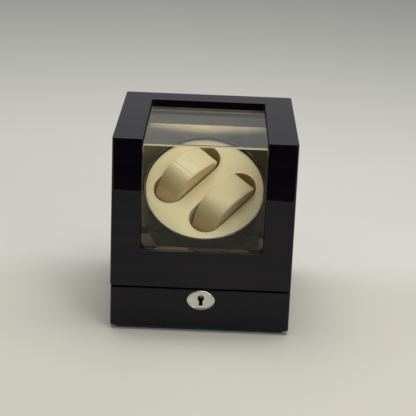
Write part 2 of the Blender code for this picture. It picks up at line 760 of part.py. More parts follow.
def make_drum(drum, black, cream, steel):
    inner = DRUM_R - DRUM_WALL
    back = -DRUM_DEPTH
    profile = [
        (DRUM_R - 0.2 * MM, back),
        (DRUM_R, back + 0.6 * MM),
        (DRUM_R, LIP - 1.0 * MM),
        (DRUM_R - 0.35 * MM, LIP - 0.3 * MM),
        (DRUM_R - 1.1 * MM, LIP),
        (inner + 0.3 * MM, LIP - 0.4 * MM),
        (inner, LIP - 1.1 * MM),
        (inner, back + 2.5 * MM),
        (SHAFT_R + FIT, back + 2.5 * MM),
        (SHAFT_R + FIT, back),
    ]
    add("drum_cup", lathe(profile, 44, closed=True), black, local_to=drum)
    face = add("drum_face", cylinder(inner - FIT, -FACE, 0, 44), cream, local_to=drum)
    slots = {}
    for name, side in (("upper", 1), ("lower", -1)):
        shift = SLOT_OFFSET * side
        place = (-math.sin(SLOT_TURN) * shift, math.cos(SLOT_TURN) * shift, 0)
        slots[name] = frame(f"slot_{name}", place, turn_z=SLOT_TURN, parent=drum)
        cutter = prism(obround(SLOT_HALF_SPAN, SLOT_R + LINER_WALL + FIT), -FACE - THROUGH, THROUGH)
        shaped(face, cutter, local_to=slots[name])
        add(f"slot_liner_{name}", liner_solid(), cream, local_to=slots[name])
    make_spindle_parts(drum, black, steel)
    return slots


def liner_solid():
    """A tray with a flange that lies on the drum's face."""
    lift = LINER_RISE
    wall = SLOT_R + LINER_WALL
    rings = [
        (wall, -LINER_DEPTH - LINER_WALL),
        (wall, FIT),
        (wall + LINER_FLANGE, FIT),
        (wall + LINER_FLANGE, FIT + lift * 0.5),
        (wall + LINER_FLANGE * 0.5, FIT + lift),
        (SLOT_R + LINER_WALL * 0.2, FIT + lift * 0.9),
        (SLOT_R, FIT + lift * 0.3),
        (SLOT_R, -LINER_DEPTH + 2 * MM),
        (SLOT_R - 2 * MM, -LINER_DEPTH),
    ]
    bm = bmesh.new()
    loops = [[bm.verts.new((x, y, z)) for x, y in obround(SLOT_HALF_SPAN, r)] for r, z in rings]
    for one, other in zip(loops, loops[1:]):
        for index in range(len(one)):
            after = (index + 1) % len(one)
            bm.faces.new((one[index], one[after], other[after], other[index]))
    bm.faces.new(loops[0])
    bm.faces.new(loops[-1])
    return finish_mesh(bm)


def make_spindle_parts(drum, black, steel):
    """Pulley, shaft and clip behind the cup."""
    bore = SHAFT_R + SHAFT_GAP
    groove = PULLEY_R - BELT_R * 2
    profile = [
        (bore, PULLEY_NEAR),
        (PULLEY_R, PULLEY_NEAR),
        (PULLEY_R, BELT_H + 1.4 * MM),
        (groove, BELT_H + 0.6 * MM),
        (groove, BELT_H - 0.6 * MM),
        (PULLEY_R, BELT_H - 1.4 * MM),
        (PULLEY_R, PULLEY_FAR),
        (bore, PULLEY_FAR),
    ]
    add("drum_pulley", lathe(profile, 28, closed=True), black, local_to=drum)
    end = BRACKET_H - SHAFT_BEYOND
    nut = SHAFT_NUT_UP - DRUM_DEPTH
    under = nut - SHAFT_NUT
    profile = [(0, nut), (SHAFT_NUT_R, nut), (SHAFT_NUT_R, under), (SHAFT_R, under), (SHAFT_R, end), (0, end)]
    add("drum_shaft", lathe(profile, 20), steel, local_to=drum)
    clip = BRACKET_H - BRACKET - BUSH_BEYOND - FIT
    far = clip - CLIP
    ring = [(bore, clip), (CLIP_R, clip), (CLIP_R, far), (bore, far)]
    add("shaft_clip", lathe(ring, 20, closed=True), steel, local_to=drum)


def pillow_outline(tip_x):
    """Side view of a cushion, in millimetres: a crown that peaks off centre, a blunt nose and a thin tip."""
    tip, peak, nose = (tip_x, 4.5), (-7.0, 17.6), (-26.2, 1.5)
    toe, heel, sole = (-32.6, -13.0), (-26.0, -20.0), (tip_x - 8.4, -20.0)
    points = [tip]
    points += bezier(tip, (19.0, 11.0), (6.0, 17.0), peak, 7)
    points += bezier(peak, (-15.0, 18.0), (-22.5, 11.5), nose, 6)
    points += bezier(nose, (-28.5, -4.0), (-31.6, -8.0), toe, 3)
    points += bezier(toe, (-33.2, -17.5), (-30.5, -20.0), heel, 3)
    points.append(sole)
    points.append((tip_x - 4.4, -7.0))
    return [(x * MM, z * MM) for x, z in points]


def pillow_plan():
    """Plan of a cushion: square at the tip, and rounded at the nose to sit in the end of its slot."""
    reach = PILLOW_NOSE_R + SLOT_HALF_SPAN
    nose = arc((-SLOT_HALF_SPAN, 0), PILLOW_NOSE_R, math.pi / 2, 3 * math.pi / 2, 12)
    return [*nose, (reach, -PILLOW_NOSE_R), (reach, PILLOW_NOSE_R)]


def make_pillows(slots, cushion):
    upper = ("upper", UPPER_PILLOW_TIP, 0.0, 0.0)
    lower = ("lower", LOWER_PILLOW_TIP, LOWER_PILLOW_TURN, LOWER_PILLOW_SINK)
    for name, tip_x, turn, sink in (upper, lower):
        bm = prism(pillow_outline(tip_x), PILLOW_LOW_SIDE, PILLOW_HIGH_SIDE, "Y")
        # About Y the right-hand rule tips +X down, so a raised tip is a negative turn.
        bmesh.ops.rotate(bm, cent=(0, 0, 0), matrix=Matrix.Rotation(-turn, 3, "Y"), verts=bm.verts)
        bmesh.ops.translate(bm, vec=(0, 0, -sink), verts=bm.verts)
        pillow = add(f"pillow_{name}", bm, cushion, local_to=slots[name])
        shaped(pillow, prism(pillow_plan(), -PILLOW_REACH, PILLOW_REACH), "INTERSECT", slots[name])


def make_drive(drive, steel, black, rubber, green):
    """Bracket, bearing, geared motor and belt. All of it is in the drum's frame but stands still."""
    down = (DECK_TOP + FIT - DRUM_UP - BRACKET_H * math.cos(DRUM_TILT)) / math.sin(DRUM_TILT)
    slope = (math.cos(DRUM_TILT), math.sin(DRUM_TILT))
    out = (-math.sin(DRUM_TILT), math.cos(DRUM_TILT))

    def at(along, height):
        y = DRUM_BACK_FROM_FRONT + slope[0] * along + out[0] * height
        return behind(y), above(DRUM_UP + slope[1] * along + out[1] * height)

    foot = above(DECK_TOP) + FIT
    low = at(down, BRACKET_H)
    run = BRACKET / math.tan(DRUM_TILT)
    under = at(down + BRACKET / math.sin(DRUM_TILT) - run, BRACKET_H - BRACKET)
    bend = (under[0] + (foot + BRACKET - under[1]) / math.tan(DRUM_TILT), foot + BRACKET)
    heel_y = behind(BRACKET_HEEL)
    top_near = at(BRACKET_REACH, BRACKET_H)
    top_far = at(BRACKET_REACH, BRACKET_H - BRACKET)
    side_view = [(low[0], foot), (heel_y, foot), (heel_y, foot + BRACKET), bend, top_far, top_near]
    left, right = BRACKET_LEFT, BRACKET_RIGHT
    bracket = add("motor_bracket", prism(side_view, left, right, "X"), steel, smooth=False)
    rib_top = at(RIB_TOP, BRACKET_H - BRACKET / 2)
    rib_low = (low[0] + BRACKET * 1.3, foot + BRACKET / 2)
    rib = [bend, (heel_y, foot + BRACKET / 2), rib_top, rib_low]
    for edge in (left, right - BRACKET):
        shaped(bracket, prism(rib, edge, edge + BRACKET, "X"), "UNION")
    through = (BRACKET_H - BRACKET - THROUGH, BRACKET_H + THROUGH)
    motor_at = (MOTOR_X, MOTOR_Y)
    shaped(bracket, cylinder(BUSH_R + FIT, *through, 24), local_to=drive)
    boss_room = cylinder(GEARBOX_BOSS_R + FIT, *through, 20, "Z", motor_at)
    shaped(bracket, boss_room, local_to=drive)
    shaped(bracket, merged(*bracket_screw_holes()))
    for name, (x, y) in zip(("left", "right"), BRACKET_SCREWS):
        screw = countersunk(x, behind(y), foot + BRACKET, BRACKET_SCREW, 1, BRACKET_HEAD_R)
        add(f"bracket_screw_{name}", screw, steel)

    flange = BRACKET_H + FIT
    bush_far = BRACKET_H - BRACKET - BUSH_BEYOND
    profile = [
        (BUSH_BORE_R, flange + BUSH_FLANGE),
        (BUSH_FLANGE_R, flange + BUSH_FLANGE),
        (BUSH_FLANGE_R, flange),
        (BUSH_R, flange),
        (BUSH_R, bush_far),
        (BUSH_BORE_R, bush_far),
    ]
    add("shaft_bush", lathe(profile, 24, closed=True), black, local_to=drive)
    make_motor(drive, bracket, steel, black)
    make_motor_pulley(drive, rubber)
    make_belt(drive, rubber)
    make_board(green)
    make_cables(rubber, at)


def bracket_screw_holes():
    """Holes for the two screws that go through the bracket's foot into the deck."""
    top = above(DECK_TOP) + FIT + BRACKET
    length = BRACKET_SCREW + 0.2 * MM
    return [screw_hole(x, behind(y), top, length, 1, BRACKET_HEAD_R) for x, y in BRACKET_SCREWS]


def make_motor(drive, bracket, steel, black):
    """Gearbox under the bracket, its two screws and the round motor behind it."""

    motor_at = (MOTOR_X, MOTOR_Y)
    top = BRACKET_H - BRACKET - FIT
    low_corner = [centre - GEARBOX_HALF for centre in motor_at]
    high_corner = [centre + GEARBOX_HALF for centre in motor_at]
    plan = rounded_box(low_corner, high_corner, 3 * MM)
    gearbox = add("motor_gearbox", prism(plan, top - GEARBOX_H, top), black, local_to=drive)
    boss = cylinder(GEARBOX_BOSS_R, top - FIT, BRACKET_H, 20, "Z", motor_at)
    shaped(gearbox, boss, "UNION", drive)
    room_low = top - GEARBOX_H / 2
    shaft_room = cylinder(MOTOR_SHAFT_R + SHAFT_GAP, room_low, BRACKET_H + THROUGH, 16, "Z", motor_at)
    shaped(gearbox, shaft_room, local_to=drive)
    through = (BRACKET_H - BRACKET - THROUGH, BRACKET_H + THROUGH)
    radius = 1.3 * MM
    head_r = 2.4 * MM
    head = BRACKET_H + SHAFT_GAP
    head_top = head + 1.6 * MM
    end = top - GEARBOX_H / 2
    for name, side in (("left", -1), ("right", 1)):
        spot = (MOTOR_X + side * GEARBOX_SCREW_OUT, MOTOR_Y + side * GEARBOX_SCREW_OUT)
        pilot = cylinder(radius + 2 * SHAFT_GAP, end - THROUGH, top + THROUGH, 12, "Z", spot)
        shaped(gearbox, pilot, local_to=drive)
        shaped(bracket, cylinder(radius + 5 * SHAFT_GAP, *through, 12, "Z", spot), local_to=drive)
        profile = [(0, head_top), (head_r, head_top), (head_r * 1.08, head)]
        profile += [(radius, head), (radius, end), (0, end)]
        screw = lathe(profile, 12)
        bmesh.ops.translate(screw, vec=(*spot, 0), verts=screw.verts)
        add(f"gearbox_screw_{name}", screw, steel, local_to=drive)
    near = top - GEARBOX_H - FIT
    far = near - CAN_H
    boss_end = far - CAN_BOSS
    edge = 0.8 * MM
    profile = [(0, near), (CAN_R - edge, near), (CAN_R, near - edge), (CAN_R, far + edge)]
    profile += [(CAN_R - edge, far), (CAN_BOSS_R, far), (CAN_BOSS_R, boss_end), (0, boss_end)]
    can = lathe(profile, 24)
    bmesh.ops.translate(can, vec=(*motor_at, 0), verts=can.verts)
    add("motor_can", can, steel, local_to=drive)


def make_motor_pulley(drive, rubber):
    """Small grooved pulley on a stub that turns in the gearbox."""
    spindle = frame("motor_spindle", (MOTOR_X, MOTOR_Y, 0), parent=drive)
    groove = MOTOR_PULLEY_R - BELT_R * 1.5
    end = BRACKET_H - BRACKET - FIT - GEARBOX_H / 2 + 0.5 * MM
    profile = [
        (0, PULLEY_NEAR),
        (MOTOR_PULLEY_R, PULLEY_NEAR),
        (MOTOR_PULLEY_R, BELT_H + 1.2 * MM),
        (groove, BELT_H + 0.5 * MM),
        (groove, BELT_H - 0.5 * MM),
        (MOTOR_PULLEY_R, BELT_H - 1.2 * MM),
        (MOTOR_PULLEY_R, PULLEY_FAR),
        (MOTOR_SHAFT_R, PULLEY_FAR),
        (MOTOR_SHAFT_R, end),
        (0, end),
    ]
    add("motor_pulley", lathe(profile, 20), rubber, local_to=spindle)


def make_belt(drive, rubber):
    """A round belt over both pulleys, clear of them by a hair: two arcs joined by the outer tangents."""
    large = PULLEY_R + SHAFT_GAP
    small = MOTOR_PULLEY_R + SHAFT_GAP
    span = math.hypot(MOTOR_X, MOTOR_Y)
    heading = math.atan2(MOTOR_Y, MOTOR_X)
    open_angle = math.acos((large - small) / span)
    path = arc((0, 0), large, heading + open_angle, heading + math.tau - open_angle, 26)
    path += arc((MOTOR_X, MOTOR_Y), small, heading - open_angle, heading + open_angle, 8)
    bm = bmesh.new()
    rings = []
    for index, point in enumerate(path):
        before, after = Vector(path[index - 1]), Vector(path[(index + 1) % len(path)])
        along = (after - before).normalized()
        outward = Vector((along.y, -along.x))
        ring = []
        for a, b in circle(BELT_R, BELT_SIDES):
            side = Vector(point) + outward * (a + BELT_R)
            ring.append(bm.verts.new((side.x, side.y, BELT_H + b)))
        rings.append(ring)
    for index, one in enumerate(rings):
        other = rings[(index + 1) % len(rings)]
        for step in range(BELT_SIDES):
            after = (step + 1) % BELT_SIDES
            bm.faces.new((one[step], one[after], other[after], other[step]))
    add("drive_belt", finish_mesh(bm), rubber, local_to=drive)


def make_board(green):
    """Control board on four posts, with its components in one piece with it."""
    low = above(BOARD) + BOARD_UP
    high = low + BOARD_THICK
    near, far = behind(BOARD_NEAR), behind(BOARD_FAR)
    board = add("control_board", box((BOARD_LEFT, near, low), (BOARD_RIGHT, far, high)), green, smooth=False)
    inset = 3.0 * MM
    for x in (BOARD_LEFT + inset, BOARD_RIGHT - inset):
        for y in (near + inset, far - inset):
            post = cylinder(2 * MM, above(BOARD) + FIT, low + BOARD_THICK / 3, 8)
            bmesh.ops.translate(post, vec=(x, y, 0), verts=post.verts)
            shaped(board, post, "UNION")
    for x, back, wide, deep, tall in COMPONENTS:
        left, front = (x - wide / 2) * MM, behind((back - deep / 2) * MM)
        opposite = (left + wide * MM, front + deep * MM, high + tall * MM)
        shaped(board, box((left, front, low + BOARD_THICK / 2), opposite), "UNION")


def make_cables(rubber, at):
    """Two round cables to the board: from the motor through the deck, and from the jack."""
    motor_end = BRACKET_H - BRACKET - FIT - GEARBOX_H - FIT - CAN_H - CAN_BOSS
    start = at(MOTOR_Y, motor_end - CABLE_GAP)
    routes = {
        "motor_cable": [
            (MOTOR_X, start[0], start[1]),
            (MOTOR_X, start[0] + 1.6 * MM, start[1] - 1.9 * MM),
            (37.6 * MM, behind(148.6 * MM), above(41.5 * MM)),
            (36.6 * MM, behind(150.4 * MM), above(37.0 * MM)),
            (CABLE_HOLE[0], behind(CABLE_HOLE[1]), above(31.5 * MM)),
            (35.6 * MM, behind(150.6 * MM), above(26.0 * MM)),
            (33.0 * MM, behind(147.5 * MM), above(21.0 * MM)),
            (28.6 * MM, behind(141.6 * MM), above(21.6 * MM)),
            (25.6 * MM, behind(136.8 * MM), above(20.6 * MM)),
            (25.0 * MM, behind(136.0 * MM), above(18.4 * MM)),
            (25.0 * MM, behind(136.0 * MM), above(16.9 * MM)),
        ],
        "power_cable": [
            (JACK_X, behind(153.3 * MM), above(CONTROLS_MID)),
            (JACK_X, behind(151.5 * MM), above(CONTROLS_MID)),
            (41.6 * MM, behind(148.0 * MM), above(18.6 * MM)),
            (42.2 * MM, behind(143.0 * MM), above(21.0 * MM)),
            (42.0 * MM, behind(138.0 * MM), above(21.6 * MM)),
            (42.0 * MM, behind(136.0 * MM), above(19.0 * MM)),
            (42.0 * MM, behind(136.0 * MM), above(16.9 * MM)),
        ],
    }
    for name, points in routes.items():
        curve = bpy.data.curves.new(name, "CURVE")
        curve.dimensions = "3D"
        curve.bevel_depth = CABLE_R
        curve.bevel_resolution = 2
        curve.use_fill_caps = True
        smooth = smoothed(points, 3)
        spline = curve.splines.new("POLY")
        spline.points.add(len(smooth) - 1)
        for target, point in zip(spline.points, smooth):
            target.co = (*point, 1.0)
        curve.materials.append(rubber)
        made = bpy.data.objects.new(name, curve)
        bpy.context.scene.collection.objects.link(made)


def smoothed(points, steps):
    """Points along a Catmull-Rom curve through the given ones."""
    route = [Vector(point) for point in points]
    ends = [route[0] * 2 - route[1], *route, route[-1] * 2 - route[-2]]
    result = []
    for index in range(1, len(ends) - 2):
        p0, p1, p2, p3 = ends[index - 1 : index + 3]
        for step in range(steps):
            t = step / steps
            bend = (p0 * 2 - p1 * 5 + p2 * 4 - p3) * t * t
            twist = (p1 * 3 - p0 - p2 * 3 + p3) * t * t * t
            result.append((p1 * 2 + (p2 - p0) * t + bend + twist) / 2)
    return [*result, route[-1]]


def make_controls(black):
    """Rear control plate with the power jack, the mode switch and its knob."""
    inner = REAR_Y - WALL - FIT
    near = inner - CONTROL_PLATE
    low = (CONTROLS_X - CONTROL_PLATE_HALF, near, above(BOARD) + 1.2 * MM)
    high = (CONTROLS_X + CONTROL_PLATE_HALF, inner, above(DECK_TOP - DECK) - 1.0 * MM)
    plate = add("control_plate", box(low, high), black, smooth=False)
    middle = above(CONTROLS_MID)
    jack_at, knob_at = (JACK_X, middle), (KNOB_X, middle)
    holes = [
        cylinder(JACK_BUSH_R + FIT, near - THROUGH, inner + THROUGH, 20, "Y", jack_at),
        cylinder(KNOB_SHAFT_R + THROUGH, near - THROUGH, inner + THROUGH, 20, "Y", knob_at),
    ]
    shaped(plate, merged(*holes))

    face = near - FIT
    body_low = (JACK_X - JACK_HALF, face - JACK_DEPTH, middle - JACK_HALF)
    jack = add("dc_jack", box(body_low, (JACK_X + JACK_HALF, face, middle + JACK_HALF)), black)
    mouth = inner + JACK_PROUD
    bottom = face - JACK_DEPTH * 0.6
    shaped(jack, cylinder(JACK_BUSH_R, face - THROUGH, mouth, 20, "Y", jack_at), "UNION")
    shaped(jack, cylinder(JACK_HOLE_R, bottom, mouth + THROUGH, 20, "Y", jack_at))
    pin = cylinder(JACK_PIN_R, bottom - THROUGH / 2, mouth - JACK_PROUD / 2, 12, "Y", jack_at)
    shaped(jack, pin, "UNION")

    body_low = (KNOB_X - SWITCH_HALF, face - SWITCH_DEPTH, middle - SWITCH_HALF)
    body_high = (KNOB_X + SWITCH_HALF, face, middle + SWITCH_HALF)
    switch = add("mode_switch_body", box(body_low, body_high), black)
    bore_end = face - SWITCH_DEPTH * 0.75
    bore = cylinder(KNOB_SHAFT_R + 2 * SHAFT_GAP, bore_end, face + THROUGH, 20, "Y", knob_at)
    shaped(switch, bore)

    spindle = frame("mode_knob_axis", (KNOB_X, REAR_Y, middle))
    steps = 36
    grip = []
    for index in range(steps):
        radius = KNOB_R if index % 3 else KNOB_R - KNOB_FLUTE
        turn = index * math.tau / steps
        grip.append((KNOB_X + radius * math.cos(turn), middle + radius * math.sin(turn)))
    knob_near, knob_far = inner + KNOB_GAP, inner + KNOB_END
    knob = add("mode_knob", prism(grip, knob_near, knob_far, "Y"), black, rides=spindle)
    shaft = cylinder(KNOB_SHAFT_R, bore_end + THROUGH / 2, knob_near + THROUGH, 16, "Y", knob_at)
    shaped(knob, shaft, "UNION")
    mark_low = (KNOB_X - MARK_HALF, knob_far - MARK_HALF, middle + KNOB_SHAFT_R)
    mark_high = (KNOB_X + MARK_HALF, knob_far + THROUGH, middle + KNOB_R + THROUGH)
    shaped(knob, box(mark_low, mark_high))


def main():
    for thing in list(bpy.data.objects):
        bpy.data.objects.remove(thing)
    wood = material("ebony_lacquer", (0.018, 0.013, 0.013), 0.08)
    board_wood = material("fibreboard", (0.32, 0.22, 0.13), 0.8)
    lining = material("beige_velvet", (0.50, 0.43, 0.27), 0.95)
    felt = material("dark_felt", (0.02, 0.025, 0.035), 0.95)
    acrylic = material("clear_acrylic", (0.95, 0.96, 0.96), 0.02, alpha=0.2)
    black = material("black_plastic", (0.015, 0.015, 0.017), 0.12)
    cream = material("cream_face", (0.62, 0.55, 0.36), 0.6)
    cushion = material("cream_leatherette", (0.60, 0.54, 0.34), 0.5)
    bright = material("silver_plate", (0.62, 0.62, 0.57), 0.2, 1.0)
    steel = material("zinc_steel", (0.45, 0.45, 0.46), 0.35, 1.0)
    brass = material("hinge_brass", (0.55, 0.42, 0.20), 0.3, 1.0)
    rubber = material("black_rubber", (0.02, 0.02, 0.02), 0.7)
    green = material("board_green", (0.02, 0.12, 0.05), 0.5)

    lid = frame("lid_hinge_axis", (0, HINGE_Y, SEAM_Z))
    centre = (0, behind(DRUM_BACK_FROM_FRONT), above(DRUM_UP))
    drum = frame("drum_axis", centre, turn_x=DRUM_TILT)
    drive = frame("drive_frame", centre, turn_x=DRUM_TILT)
    make_lid(lid, wood, lining, acrylic, steel)
    make_base(wood, lining, felt, board_wood)
    make_hinge("left", -1, lid, brass)
    make_hinge("right", 1, lid, brass)
    make_lock(steel, bright)
    slots = make_drum(drum, black, cream, steel)
    make_pillows(slots, cushion)
    make_drive(drive, steel, black, rubber, green)
    make_controls(black)


main()
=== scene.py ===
"""Looks of the double watch winder box: lacquered lid and base, clear window, tilted drum with two cushions.

Metres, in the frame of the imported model: +Z up, front towards -Y.
"""

import json
import math

import bmesh
import bpy
from mathutils import Matrix, Vector


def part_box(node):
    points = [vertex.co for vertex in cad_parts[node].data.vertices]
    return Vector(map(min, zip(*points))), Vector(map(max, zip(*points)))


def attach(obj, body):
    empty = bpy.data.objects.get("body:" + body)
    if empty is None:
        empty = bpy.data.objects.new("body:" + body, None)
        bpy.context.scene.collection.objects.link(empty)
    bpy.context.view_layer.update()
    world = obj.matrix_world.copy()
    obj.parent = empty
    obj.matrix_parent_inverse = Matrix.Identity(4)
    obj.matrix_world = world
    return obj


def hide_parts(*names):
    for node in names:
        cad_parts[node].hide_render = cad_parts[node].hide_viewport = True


MM = 0.001

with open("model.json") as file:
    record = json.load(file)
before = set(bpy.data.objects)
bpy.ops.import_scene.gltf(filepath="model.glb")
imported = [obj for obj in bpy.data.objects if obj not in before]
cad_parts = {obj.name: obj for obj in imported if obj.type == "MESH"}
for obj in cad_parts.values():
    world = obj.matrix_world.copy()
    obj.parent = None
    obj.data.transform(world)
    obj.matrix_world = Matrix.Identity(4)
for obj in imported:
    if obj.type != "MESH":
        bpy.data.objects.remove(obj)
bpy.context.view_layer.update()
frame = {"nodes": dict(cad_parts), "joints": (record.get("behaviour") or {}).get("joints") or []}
nodes = frame["nodes"]
joints = {joint["name"]: joint for joint in frame["joints"]}

LID_LOW, LID_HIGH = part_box("lid_shell")
BASE_LOW, BASE_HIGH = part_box("base_shell")
FRONT_PANE_LOW, FRONT_PANE_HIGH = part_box("window_front_pane")
TOP_PANE_LOW, TOP_PANE_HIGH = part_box("window_top_pane")
PLATE_LOW, PLATE_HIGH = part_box("escutcheon")
FRONT_Y = LID_LOW.y
REAR_Y = LID_HIGH.y
BOTTOM = BASE_LOW.z
SEAM_Z = (BASE_HIGH.z + LID_LOW.z) / 2

# Case
WALL = 12.5 * MM
CORNER_R = 2.5 * MM
CORNER_STEPS = 8
LID_EDGE = 0.75 * MM
BASE_EDGE = 0.64 * MM
FIT = 0.3 * MM
PANE_GAP = 0.2 * MM
THROUGH = 1 * MM
WINDOW_HALF_W = FRONT_PANE_HIGH.x + PANE_GAP
WINDOW_CORNER_R = 5.0 * MM
WINDOW_REAR_R = 2.0 * MM
WINDOW_OPEN = 20 * MM
CONTROLS_HALF_W = 21 * MM
CONTROLS_LOW = 9 * MM
CONTROLS_TOP = 25.5 * MM
CONTROLS_CORNER_R = 3 * MM

# Hinges and lock
HINGE_X = 48.0 * MM
HINGE_HALF = 15.0 * MM
LEAF_DEPTH = 10.0 * MM
LEAF_ROOM = 1.6 * MM
BARREL_ROOM = 2.6 * MM
BARREL_STEPS = 40
HINGE_AXIS = Vector(joints["lid_hinge"]["pos_m"])
LOCK_X = (PLATE_LOW.x + PLATE_HIGH.x) / 2
PLATE_Z = (PLATE_LOW.z + PLATE_HIGH.z) / 2
PLATE_HALF_W = (PLATE_HIGH.x - PLATE_LOW.x) / 2
PLATE_HALF_H = (PLATE_HIGH.z - PLATE_LOW.z) / 2
KEYHOLE_Z = PLATE_Z + 2.1 * MM
KEYHOLE_R = 3.05 * MM
KEY_SLOT_HALF = 1.75 * MM
KEY_SLOT_LOW = PLATE_Z - 5.2 * MM
KEYHOLE_STEPS = 28
CASE_HALF = 18.0 * MM
CASE_NEAR = 4.9 * MM
CASE_LOW = 14.5 * MM
STRIKE_HALF = 15.5 * MM
STRIKE_FAR = 12.8 * MM
STRIKE_ROOM = 1.2 * MM
PLATE_SEAT = 0.6 * MM
PLATE_MARGIN = 0.25 * MM
PLATE_STEPS = 96

# Drum, in its own frame: Z along the spin axis, origin in the middle of the face
DRUM_R = 60.4 * MM
DRUM_WALL = 2.4 * MM
DRUM_DEPTH = 46.0 * MM
DRUM_LIP = 3.0 * MM
FACE = 3.0 * MM
DRUM_STEPS = 144
SHAFT_ROOM = 3.3 * MM
SLOT_TURN = math.radians(49.0)
SLOT_OFFSET = 24.0 * MM
SLOT_HALF_SPAN = 24.5 * MM
SLOT_R = 16.1 * MM
SLOT_STEPS = 24
LINER_WALL = 1.0 * MM
LINER_FLANGE = 1.6 * MM
LINER_DEPTH = 29.5 * MM
PILLOW_LOW_SIDE = -14.9 * MM
PILLOW_HIGH_SIDE = 13.2 * MM
PILLOW_NOSE_R = 14.7 * MM
PILLOW_REACH = 45.0 * MM
UPPER_PILLOW_TIP = 29.4
LOWER_PILLOW_TIP = 31.4
# Each crease's place along the cushion, width and depth
UPPER_PILLOW_CREASES = ((7.2 * MM, 0.75 * MM, 0.32 * MM), (-6.6 * MM, 1.0 * MM, 0.28 * MM))
CREASE_BOW = 0.6 * MM
CREASE_SPAN = 9 * MM
CREASE_LOW = -5 * MM
LOWER_PILLOW_TURN = math.radians(9.0)
LOWER_PILLOW_SINK = 3.0 * MM
PILLOW_INSET = 0.35 * MM
PILLOW_EDGE = 0.6 * MM
PILLOW_VOXEL = 0.85 * MM
PILLOW_SWELL = 0.6 * MM
PILLOW_PRESSURE = 4.0
PILLOW_FRAMES = 12
SEAM_AT = 1.6 * MM
SEAM_WIDE = 0.35 * MM
SEAM_DEEP = 0.22 * MM

# Stage and camera
FLOOR_HALF = 6.0
CARD_HALF_W = 0.6
# Where the card's near edge passes the lid's left and right sides
CARD_NEAR_LEFT = FRONT_Y - 426.4 * MM
CARD_NEAR_RIGHT = FRONT_Y - 409.4 * MM
CARD_FAR = -2.6
CARD_TOP = 2.2
BEAM_RISE = math.radians(48.4)
BEAM_BELOW_TOP = 24.2 * MM
BEAM_REACH = 0.45
CAMERA_PLACE = (9.71 * MM, FRONT_Y - 1156.17 * MM, BOTTOM + 504.99 * MM)
CAMERA_HEADING = math.radians(0.266)
CAMERA_PITCH = math.radians(18.41)
CAMERA_ROLL = math.radians(2.287)
CAMERA_LENS = 114.64


def drum_matrix():
    """From the drum's own frame to the world."""
    joint = joints["drum_spin"]
    out = Vector(joint["axis"]).normalized()
    right = Vector((1, 0, 0))
    up = out.cross(right)
    turn = Matrix((right, up, out)).transposed().to_4x4()
    return Matrix.Translation(joint["pos_m"]) @ turn


DRUM = drum_matrix()


# ---------------------------------------------------------------- outlines and solids


def arc(centre, radius, start, end, steps):
    turn = (end - start) / steps
    return [
        (
            centre[0] + radius * math.cos(start + turn * step),
            centre[1] + radius * math.sin(start + turn * step),
        )
        for step in range(steps + 1)
    ]


def circle(radius, steps):
    return arc((0, 0), radius, 0, math.tau, steps)[:-1]


def rounded_box(low, high, radius):
    corners = [
        (high[0] - radius, high[1] - radius),
        (low[0] + radius, high[1] - radius),
        (low[0] + radius, low[1] + radius),
        (high[0] - radius, low[1] + radius),
    ]
    points = []
    for quarter, corner in enumerate(corners):
        start = quarter * math.pi / 2
        points += arc(corner, radius, start, start + math.pi / 2, CORNER_STEPS)
    return points


def obround(half_span, radius):
    """A slot with round ends, along X."""
    right = arc((half_span, 0), radius, -math.pi / 2, math.pi / 2, SLOT_STEPS)
    left = arc((-half_span, 0), radius, math.pi / 2, 3 * math.pi / 2, SLOT_STEPS)
    return right + left


def ellipse(centre, half_w, half_h, steps):
    return [(centre[0] + half_w * a, centre[1] + half_h * b) for a, b in circle(1.0, steps)]


def keyhole():
    """A round hole over a narrow slot."""
    turn = math.asin(KEY_SLOT_HALF / KEYHOLE_R)
    start = -math.pi / 2 + turn
    end = start + math.tau - 2 * turn
    round_part = arc((LOCK_X, KEYHOLE_Z), KEYHOLE_R, start, end, KEYHOLE_STEPS)
    left, right = LOCK_X - KEY_SLOT_HALF, LOCK_X + KEY_SLOT_HALF
    return round_part + [(left, KEY_SLOT_LOW), (right, KEY_SLOT_LOW)]


def bezier(start, lean_out, lean_in, end, steps):
    points = []
    for step in range(1, steps + 1):
        t = step / steps
        weights = ((1 - t) ** 3, 3 * t * (1 - t) ** 2, 3 * t * t * (1 - t), t**3)
        corners = (start, lean_out, lean_in, end)
        points.append(tuple(sum(w * c[k] for w, c in zip(weights, corners)) for k in (0, 1)))
    return points


def on_axis(a, b, t, axis):
    return {"Z": (a, b, t), "Y": (a, t, b), "X": (t, a, b)}[axis]


def prism(outline, low, high, axis="Z"):
    bm = bmesh.new()
    rings = [[bm.verts.new(on_axis(a, b, t, axis)) for a, b in outline] for t in (low, high)]
    bm.faces.new(rings[0])
    bm.faces.new(rings[1])
    bridge(bm, rings)
    bmesh.ops.recalc_face_normals(bm, faces=bm.faces)
    return bm


def bridge(bm, rings, closed=False):
    """Quads between rings of points. A ring of one point makes a fan."""
    pairs = list(zip(rings, rings[1:]))
    if closed:
        pairs.append((rings[-1], rings[0]))
    for one, other in pairs:
        count = max(len(one), len(other))
        for index in range(count):
            after = (index + 1) % count
            if len(one) == 1:
                bm.faces.new((one[0], other[index], other[after]))
            elif len(other) == 1:
                bm.faces.new((one[index], one[after], other[0]))
            else:
                bm.faces.new((one[index], one[after], other[after], other[index]))


def box(low, high):
    corners = [(low[0], low[1]), (high[0], low[1]), (high[0], high[1]), (low[0], high[1])]
    return prism(corners, low[2], high[2])


def lathe(profile, steps, closed=False):
    bm = bmesh.new()
    rings = []
    for radius, height in profile:
        points = [(0, 0)] if radius == 0 else circle(radius, steps)
        rings.append([bm.verts.new((x, y, height)) for x, y in points])
    bridge(bm, rings, closed)
    bmesh.ops.recalc_face_normals(bm, faces=bm.faces)
    return bm


